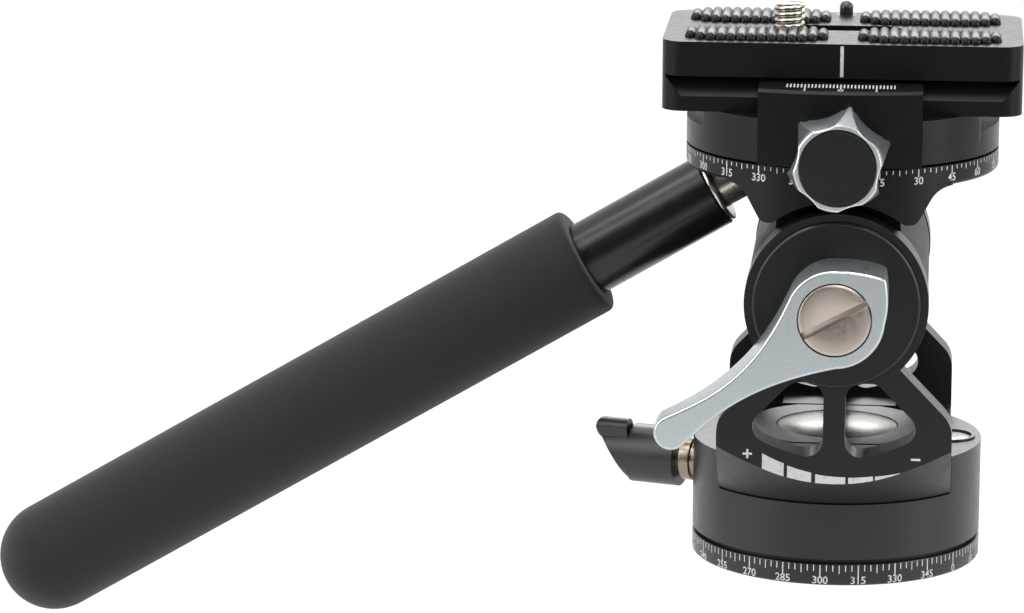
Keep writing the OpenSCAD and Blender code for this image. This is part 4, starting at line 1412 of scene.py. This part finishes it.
@dataclass
class Clamp(SubAssembly):
    """The panning clamp, its jaw and its scale."""

    body_edge: float = 0.3
    jaw_edge: float = 0.25
    jaw_top: float = 102.95
    chamfer: float = 0.6
    tick_pitch: float = 0.72
    tick_width: float = 0.3
    ticks: int = 31
    long_step: int = 10
    tick_back: float = -24.2
    tick_fore: float = -28.2
    long_fore: float = -29.6
    numeral_y: float = -30.9
    numeral_height: float = 1.9
    numeral_thickness: float = 0.03

    def build(self) -> None:
        """Model and dress the pieces."""
        looks = self.finishes
        machined("clamp_body", "clamp_body_block", self.body_edge, Body.CLAMP, Slot.BLACK, looks.black)
        jaw = machined("clamp_jaw", "clamp_jaw_block", self.jaw_edge, Body.JAW, Slot.BLACK, looks.black,
                       looks.black_matt)
        low = self.jaw_top - self.chamfer
        # The jaw's broken edges and its top front faces take the duller copy of the black: painted shade
        # under the plate.
        tint(jaw, 1, lambda centre, normal: centre.z > low and normal.y < -0.4)
        self.scale()
        coat(looks.steel, "guide_pins", "jaw_springs")

    def scale(self) -> None:
        """Print the short centring scale with its three numbers on the jaw's top."""
        marks = []
        floor, top, half = self.jaw_top - PRINT_SINK, self.jaw_top + PRINT_PROUD, self.tick_width / 2
        for i in range(self.ticks):
            step = i - self.ticks // 2
            x = step * self.tick_pitch
            fore = self.long_fore if step % self.long_step == 0 else self.tick_fore
            marks.append(Bench.block("tick", (x - half, fore, floor), (x + half, self.tick_back, top)))
        for number in (-1, 0, 1):
            sign = Bench.thicken(Bench.words(str(abs(number)), self.numeral_height), self.numeral_thickness)
            x = number * self.long_step * self.tick_pitch
            place = Vector((x, self.numeral_y, self.jaw_top)) * MM
            sign.data.transform(Matrix.Translation(place))
            marks.append(sign)
        self.print_marks("jaw_scale_marks", marks, Body.JAW)


@dataclass
class ClampKnob(SubAssembly):
    """The star knob that closes the jaw."""

    height: float = 90.0
    back: float = 33.5
    front: float = 47.1
    flute: float = 12.0
    flute_centre: float = 20.3
    turn: float = 18.5
    points: int = 6
    sides: int = 216
    shoulder: float = 2.4
    shoulder_radius: float = 10.78
    taper: float = 0.1651
    ring_step: float = 0.4
    rings: int = 26
    land_start: float = 15.0
    face_depth: float = 0.32
    face_edge: float = 0.1
    bore_radius: float = 7.82
    cap_radius: float = 7.58
    cap_depth: float = 1.0

    def off_flute(self, angle: float) -> float:
        """Return the angle, in degrees, from the middle of the nearest flute."""
        pitch = 360 / self.points
        return (angle - self.turn) % pitch - pitch / 2

    def ring(self, y: float, radius: float, inset: float = 0.0) -> list[tuple[float, float, float]]:
        """Draw the star's outline at one depth.

        Args:
            y: Distance in front of the middle.
            radius: Radius of the points there.
            inset: How much deeper than elsewhere the flutes are there.

        Returns:
            Points of the outline.
        """
        centre = self.flute_centre - inset
        outline = []
        for i in range(self.sides):
            angle = 360 * i / self.sides
            off, turn = math.radians(self.off_flute(angle)), math.radians(angle)
            flute = centre * math.cos(off) - math.sqrt(self.flute ** 2 - (centre * math.sin(off)) ** 2)
            reach = min(flute, radius)
            outline.append((reach * math.cos(turn), -y, self.height + reach * math.sin(turn)))
        return outline

    def build(self) -> None:
        """Model and dress the pieces."""
        looks = self.finishes
        y, z = -self.front, self.height
        knob = Bench.loft("clamp_star_knob", self.star())
        bore = Bench.rod("bore", self.bore_radius, (0, y - 1, z), (0, y + self.cap_depth, z), 128)
        Bench.boolean(knob, bore)
        Bench.dress(knob, looks.knob_side, looks.silver_edge, looks.knob_ring, looks.knob_land)
        tint(knob, 3, self.is_land)
        tint(knob, 2, lambda centre, normal: centre.y < y + self.face_depth)
        # Faces of the front rim that face up take the darker edge copy of the silver: painted shade.
        tint(knob, 1, lambda centre, normal: centre.y < y + self.face_edge and normal.z > 0.12)
        hand_over(Bench.smooth(knob, 26), Body.KNOB, Slot.SILVER, "clamp_knob")
        r, d = self.cap_radius, self.cap_depth
        rim = [(r, 0.02), (r, d - 0.3), (r - 0.1, d - 0.1), (r - 0.35, d), (r - 1.0, d)]
        cap = Bench.lathe("clamp_knob_cap", [(0, 0.02), *rim, (0, d)], (0, y + d, z), FRONT)
        dressed(cap, looks.cap_plastic, Body.KNOB, Slot.PLASTIC, "knob_cap", angle=30)
        coat(looks.steel, "clamp_screw")

    def star(self) -> list[list[tuple[float, float, float]]]:
        """Draw the star's outlines from its rounded back over its tapered side to its rounded front.

        Returns:
            The outlines.
        """
        rings = [self.ring(self.back, 9.0, 0.35), self.ring(self.back + 0.35, 9.5),
                 self.ring(self.back + self.shoulder, 10.72)]
        for i in range(self.rings):
            run = self.ring_step * (i + 1)
            rings.append(self.ring(self.back + self.shoulder + run, self.shoulder_radius - self.taper * run))
        return rings + [self.ring(self.front - 0.15, 8.75, 0.12), self.ring(self.front, 8.5, 0.35)]

    def is_land(self, centre: Vector, normal: Vector) -> bool:
        """Tell whether a face lies on the land of a point, between two flutes.

        Args:
            centre: The face's centre.
            normal: Its normal.

        Returns:
            Whether it does.
        """
        out = Vector((centre.x, centre.z - self.height))
        off = self.off_flute(math.degrees(math.atan2(out.y, out.x)))
        return abs(off) > self.land_start and Vector((normal.x, normal.z)).dot(out.normalized()) > 0.97


@dataclass
class QuickPlate(SubAssembly):
    """The quick-release plate with its ribbed pads, centre line and video pin."""

    edge: float = 0.4
    top: float = 110.7
    half_width: float = 21.2
    line_width: float = 0.68
    line_floor: float = 104.0
    line_top: float = 110.3
    pad_length: float = 29.3
    pad_width: float = 13.2
    pad_gap: float = 5.8
    pad_y: float = 11.8
    pad_sink: float = 0.75
    pad_rise: float = 1.4
    pad_floor: float = 0.06
    rib_pitch: float = 2.06
    rib_radius: float = 1.2
    rib_inset: float = 0.04
    rib_sink: float = 0.1
    ribs: int = 14
    pin_travel: float = 2.0

    def build(self) -> None:
        """Model and dress the pieces."""
        looks = self.finishes
        # The plate's broken edges take the lighter edge copy of the black, a painted highlight.
        machined("qr_plate", "plate_block", self.edge, Body.PLATE, Slot.BLACK, looks.black_top,
                 looks.black_edge)
        x, y = self.line_width / 2, -self.half_width
        line = Bench.block("plate_centre_line", (-x, y - PRINT_PROUD, self.line_floor),
                           (x, y + PRINT_SINK, self.line_top))
        hand_over(Bench.dress(line, looks.white), Body.PLATE, Slot.BLACK)
        self.pads()
        self.pin_spring()
        coat(looks.plastic, "pin_bush", "video_pin")
        coat(looks.friction, "screw_retainer")

    def pin_spring(self) -> None:
        """Copy the spring under the video pin into a piece with a mesh of its own; on the real head the
        spring shortens as the pin goes down.
        """
        spring = Bench.dress(Bench.node_copy("pin_spring", "video_pin_spring"), self.finishes.steel)
        hand_over(spring, Body.PLATE, Slot.STEEL, "pin_spring")
        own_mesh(spring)

    def rib(self, x: float, half: float) -> Piece:
        """Model one rounded rib: a ball drawn out across the pad and pressed flat.

        Args:
            x: Its place along the pad.
            half: Half its length.

        Returns:
            The rib.
        """
        r = self.rib_radius
        Bench.clear()
        bpy.ops.mesh.primitive_uv_sphere_add(segments=28, ring_count=14, radius=r * MM,
                                             rotation=(math.pi / 2, 0, 0))
        rib = Bench.named("rib")
        for side in (-1, 1):
            Bench.pick(rib, lambda place: place.y * side > 0.05)
            bpy.ops.transform.translate(value=(0, side * (half - r) * MM, 0))
            Bench.done()
        low = self.top + self.pad_floor - self.rib_sink
        flat = (self.top + self.pad_rise - low) / r
        rib.data.transform(Matrix.Translation((x * MM, 0, low * MM)) @ Matrix.Diagonal((1, 1, flat, 1)))
        return rib

    def pads(self) -> None:
        """Model one ribbed pad and set four copies into the plate."""
        straight = (self.pad_length - self.pad_width) / 2
        radius = self.pad_width / 2
        outline = arc((straight, 0), radius, -90, 90, 32) + arc((-straight, 0), radius, 90, 270, 32)
        floor = self.top - self.pad_sink
        pad = Bench.prism("pad", [(x, y, floor) for x, y in outline], (0, 0, self.pad_sink + self.pad_floor))
        ribs = []
        for i in range(self.ribs):
            x = (i - (self.ribs - 1) / 2) * self.rib_pitch
            half = math.sqrt(radius ** 2 - max(0.0, abs(x) - straight) ** 2)
            ribs.append(self.rib(x, half - self.rib_inset))
        Bench.boolean(pad, Bench.join("ribs", ribs), "UNION")
        shift = (self.pad_length + self.pad_gap) / 2
        places = [(x, y) for x in (-shift, shift) for y in (-self.pad_y, self.pad_y)]
        copies = [Bench.twin(pad, Matrix.Translation((x * MM, y * MM, 0))) for x, y in places]
        bpy.data.objects.remove(pad, do_unlink=True)
        pads = Bench.join("plate_grip_pads", copies)
        dressed(pads, self.finishes.rubber, Body.PLATE, Slot.RUBBER, "rubber_pads", angle=40)


@dataclass
class CameraScrew(SubAssembly):
    """The quarter-inch camera screw with a real helical thread."""

    x: float = -11.3
    radius: float = 3.175
    core: float = 2.55
    pitch: float = 1.27
    form_steps: int = 10
    turns: int = 7
    neck_radius: float = 2.5
    neck_top: float = 110.9
    neck_overlap: float = 0.3
    top: float = 115.9
    lead: float = 0.3
    head_radius: float = 6.6
    head_floor: float = 98.65
    head_top: float = 102.65
    head_edge: float = 0.4
    slot_width: float = 1.6
    slot_depth: float = 1.5
    socket: float = 1.9
    socket_depth: float = 2.4
    tool_reach: float = 9.0

    def build(self) -> None:
        """Model and dress the pieces."""
        parts = [self.thread(), self.head()]
        screw = Bench.join("camera_threaded_screw", parts)
        dressed(screw, self.finishes.camera_screw, Body.SCREW, Slot.STAINLESS, "camera_screw", angle=32)

    def thread(self) -> Piece:
        """Cut the thread's lead and its hexagon socket.

        Returns:
            The threaded length.
        """
        thread = self.helix()
        wide, floor, shoulder = self.tool_reach, self.neck_top - 3, self.top - 2
        profile = [(0, floor), (wide, floor), (wide, shoulder), (self.radius, self.top - self.lead),
                   (self.radius - self.lead, self.top), (0, self.top)]
        Bench.boolean(thread, Bench.lathe("lead", profile, (self.x, 0, 0), UP, 96), "INTERSECT")
        corner = self.socket / 2 / math.cos(math.pi / 6)
        floor, over = self.top - self.socket_depth, self.top + 1
        Bench.boolean(thread, Bench.rod("socket", corner, (self.x, 0, floor), (self.x, 0, over), 6))
        return thread

    def head(self) -> Piece:
        """Turn the head and the neck and mill the head's slot.

        Returns:
            The head and the neck.
        """
        r, low, high, edge = self.head_radius, self.head_floor, self.head_top, self.head_edge
        neck, neck_end = self.neck_radius, self.neck_top + self.neck_overlap
        profile = [(0, low), (r - edge, low), (r, low + edge), (r, high - edge), (r - edge, high),
                   (neck, high), (neck, neck_end), (0, neck_end)]
        head = Bench.lathe("head", profile, (self.x, 0, 0), UP, 96)
        half, wide = self.slot_width / 2, self.tool_reach
        Bench.boolean(head, Bench.block("slot", (self.x - wide, -half, low - 1),
                                        (self.x + wide, half, low + self.slot_depth)))
        return head

    def helix(self) -> Piece:
        """Sweep one thread form along a helix and cut its ends flat.

        Returns:
            The closed threaded length.
        """
        depth = self.radius - self.core
        shares = [i / self.form_steps for i in range(self.form_steps + 1)]
        form = [(self.core + depth * math.sin(math.pi * s) ** 0.75, self.pitch * s) for s in shares]
        piece = Bench.wire("thread", [Vector((reach, 0, height)) * MM for reach, height in form])
        Bench.modify(piece, "SCREW", angle=2 * math.pi, screw_offset=self.pitch * MM, iterations=self.turns,
                     steps=48, render_steps=48, use_merge_vertices=True, merge_threshold=0.000001)
        start = self.neck_top - 2 * self.pitch
        piece.data.transform(Matrix.Translation((self.x * MM, 0, start * MM)))
        for level, keep_above in ((self.neck_top, True), (self.top, False)):
            Bench.edit(piece)
            bpy.ops.mesh.bisect(plane_co=(self.x * MM, 0, level * MM), plane_no=UP, use_fill=True,
                                clear_inner=keep_above, clear_outer=not keep_above)
            Bench.close()
        return piece


@dataclass(frozen=True)
class Softbox:
    """A rectangular lamp that faces the head. Lengths are in metres and the power is in watts."""

    name: str
    place: Point
    size: Point
    power: float
    aim: Point = (-0.03, 0, 0.06)

    def build(self) -> None:
        """Hang the lamp."""
        data = bpy.data.lights.new(self.name, "AREA")
        data.shape = "RECTANGLE"
        data.size, data.size_y = self.size
        data.energy = self.power
        lamp = bpy.data.objects.new(self.name, data)
        lamp.location = self.place
        lamp.rotation_euler = (Vector(self.aim) - Vector(self.place)).to_track_quat("-Z", "Y").to_euler()
        bpy.context.collection.objects.link(lamp)


@dataclass
class Studio:
    """Camera, soft light, white background, pale floor and a dark card behind the camera."""

    focal_pixels: float = 5000.0
    image_width: float = 1024.0
    sensor: float = 36.0
    yaw: float = 0.0855
    pitch: float = 0.2123
    roll: float = 0.0045
    eye: tuple[float, float, float] = (19.0012, -1019.8727, 271.1673)
    world_light: float = 0.55
    floor_level: float = -60.0
    floor_size: float = 40.0
    floor_y: float = 12.0
    floor_paint: tuple[float, float, float, float] = (0.9, 0.9, 0.9, 1)
    floor_glow: float = 0.82
    floor_fall: tuple[float, float] = (-0.42, -0.64)
    floor_dim: float = 0.12
    flag_place: tuple[float, float, float] = (0, -1.7, 0.6)
    flag_size: tuple[float, float, float] = (5.0, 1.3, 1.0)
    flag_cloth: tuple[float, float, float, float] = (0.03, 0.03, 0.03, 1)
    lamps: tuple[Softbox, ...] = (
        Softbox("overhead_box", (-0.15, -0.1, 0.95), (0.9, 0.9), 10.0),
        Softbox("left_box", (-0.95, -0.55, 0.45), (0.5, 0.9), 6.0),
        Softbox("right_box", (0.95, -0.35, 0.4), (0.4, 0.9), 5.0),
        Softbox("front_fill", (0.25, -1.3, 0.75), (0.6, 0.6), 4.0),
        Softbox("rear_box", (0.1, 1.0, 0.6), (0.9, 0.5), 6.0),
    )

    def build(self) -> None:
        """Set up the camera, the lamps, the world, the floor and the card."""
        self.camera()
        for lamp in self.lamps:
            lamp.build()
        self.world()
        self.floor()
        self.flag()
        bpy.context.scene.view_settings.view_transform = "Standard"

    def camera(self) -> None:
        """Place the camera where the photograph was taken."""
        ahead = Vector((-math.sin(self.yaw), math.cos(self.yaw), 0))
        right = Vector((math.cos(self.yaw), math.sin(self.yaw), 0))
        up = Vector(UP)
        look = ahead * math.cos(self.pitch) - up * math.sin(self.pitch)
        top = up * math.cos(self.pitch) + ahead * math.sin(self.pitch)
        x = right * math.cos(self.roll) + top * math.sin(self.roll)
        y = top * math.cos(self.roll) - right * math.sin(self.roll)
        data = bpy.data.cameras.new("camera")
        data.sensor_fit = "HORIZONTAL"
        data.sensor_width = self.sensor
        data.lens = self.focal_pixels / self.image_width * self.sensor
        data.clip_start, data.clip_end = 0.05, 50.0
        camera = bpy.data.objects.new("camera", data)
        turn = Matrix((x, y, -look)).transposed().to_4x4()
        camera.matrix_world = Matrix.Translation(Vector(self.eye) * MM) @ turn
        bpy.context.collection.objects.link(camera)
        bpy.context.scene.camera = camera

    def seen_white(self, sheet: Sheet) -> Socket:
        """Tell the rays that show the background from those that only light the head.

        Args:
            sheet: The node tree to add to.

        Returns:
            A value that is one for rays that show the background.
        """
        path = sheet.add("LightPath").outputs
        seen = sheet.combine("Math", "MAXIMUM", path["Is Camera Ray"], path["Is Glossy Ray"])
        return sheet.combine("Math", "MAXIMUM", seen, path["Is Transmission Ray"])

    def world(self) -> None:
        """Make a white world that lights the head softly."""
        world = bpy.data.worlds.new("studio")
        bpy.context.scene.world = world
        world.use_nodes = True
        sheet = Sheet(world.node_tree)
        sheet.nodes.clear()
        soft = sheet.add("Background", Color=WHITE, Strength=self.world_light)
        white = sheet.add("Background", Color=WHITE, Strength=1.0)
        sheet.add("OutputWorld", Surface=sheet.mix(self.seen_white(sheet), soft, white))

    def floor_light(self, sheet: Sheet) -> Socket:
        """Make the floor's light fall off towards the dark side of the studio behind the camera.

        Args:
            sheet: The floor's node tree.

        Returns:
            The light's strength.
        """
        near, far = self.floor_fall
        place = sheet.add("TexCoord").outputs["Object"]
        depth = sheet.add("SeparateXYZ", Vector=place).outputs["Y"]
        fall = sheet.add("MapRange", {"interpolation_type": "SMOOTHSTEP"}, Value=depth, From_Min=far,
                         From_Max=near, To_Min=self.floor_dim, To_Max=1.0)
        seen = sheet.add("LightPath").outputs["Is Camera Ray"]
        return sheet.combine("Math", "MAXIMUM", fall.outputs["Result"], seen)

    def floor(self) -> None:
        """Lay a wide pale floor that keeps the shadow."""
        Bench.clear()
        place = (0, self.floor_y, self.floor_level * MM)
        bpy.ops.mesh.primitive_plane_add(size=self.floor_size, location=place)
        floor = Bench.named("studio_floor")
        material = bpy.data.materials.new("studio_floor_paint")
        material.use_nodes = True
        sheet = Sheet(material.node_tree)
        sheet.nodes.clear()
        paint = sheet.add("BsdfDiffuse", Color=self.floor_paint)
        glow = sheet.add("Emission", Strength=self.floor_light(sheet))
        share = sheet.combine("Math", "MULTIPLY", self.seen_white(sheet), self.floor_glow)
        sheet.add("OutputMaterial", Surface=sheet.mix(share, paint, glow))
        Bench.dress(floor, material)

    def flag(self) -> None:
        """Hang a dark card behind the camera, for the black faces to mirror."""
        Bench.clear()
        bpy.ops.mesh.primitive_plane_add(size=1.0, location=self.flag_place, rotation=(math.pi / 2, 0, 0))
        bpy.context.object.scale = self.flag_size
        flag = Bench.named("studio_flag")
        cloth = Coating("studio_flag_cloth")
        cloth.set(Base_Color=self.flag_cloth, Roughness=0.9)
        Bench.dress(flag, cloth.material)
        flag.visible_camera = False


def main() -> None:
    """Build every sub-assembly in order."""
    logging.basicConfig(level=logging.INFO, format="%(name)s: %(message)s")
    Studio().build()
    finishes = Finishes()
    for assembly in (PanBase, PanLock, Uprights, DragLever, TiltBracket, Handle, Clamp, ClampKnob, QuickPlate,
                     CameraScrew):
        assembly(finishes).build()
        log.info("%s is dressed", assembly.__name__)
    Bench.clear()


if __name__ == "__main__":
    main()
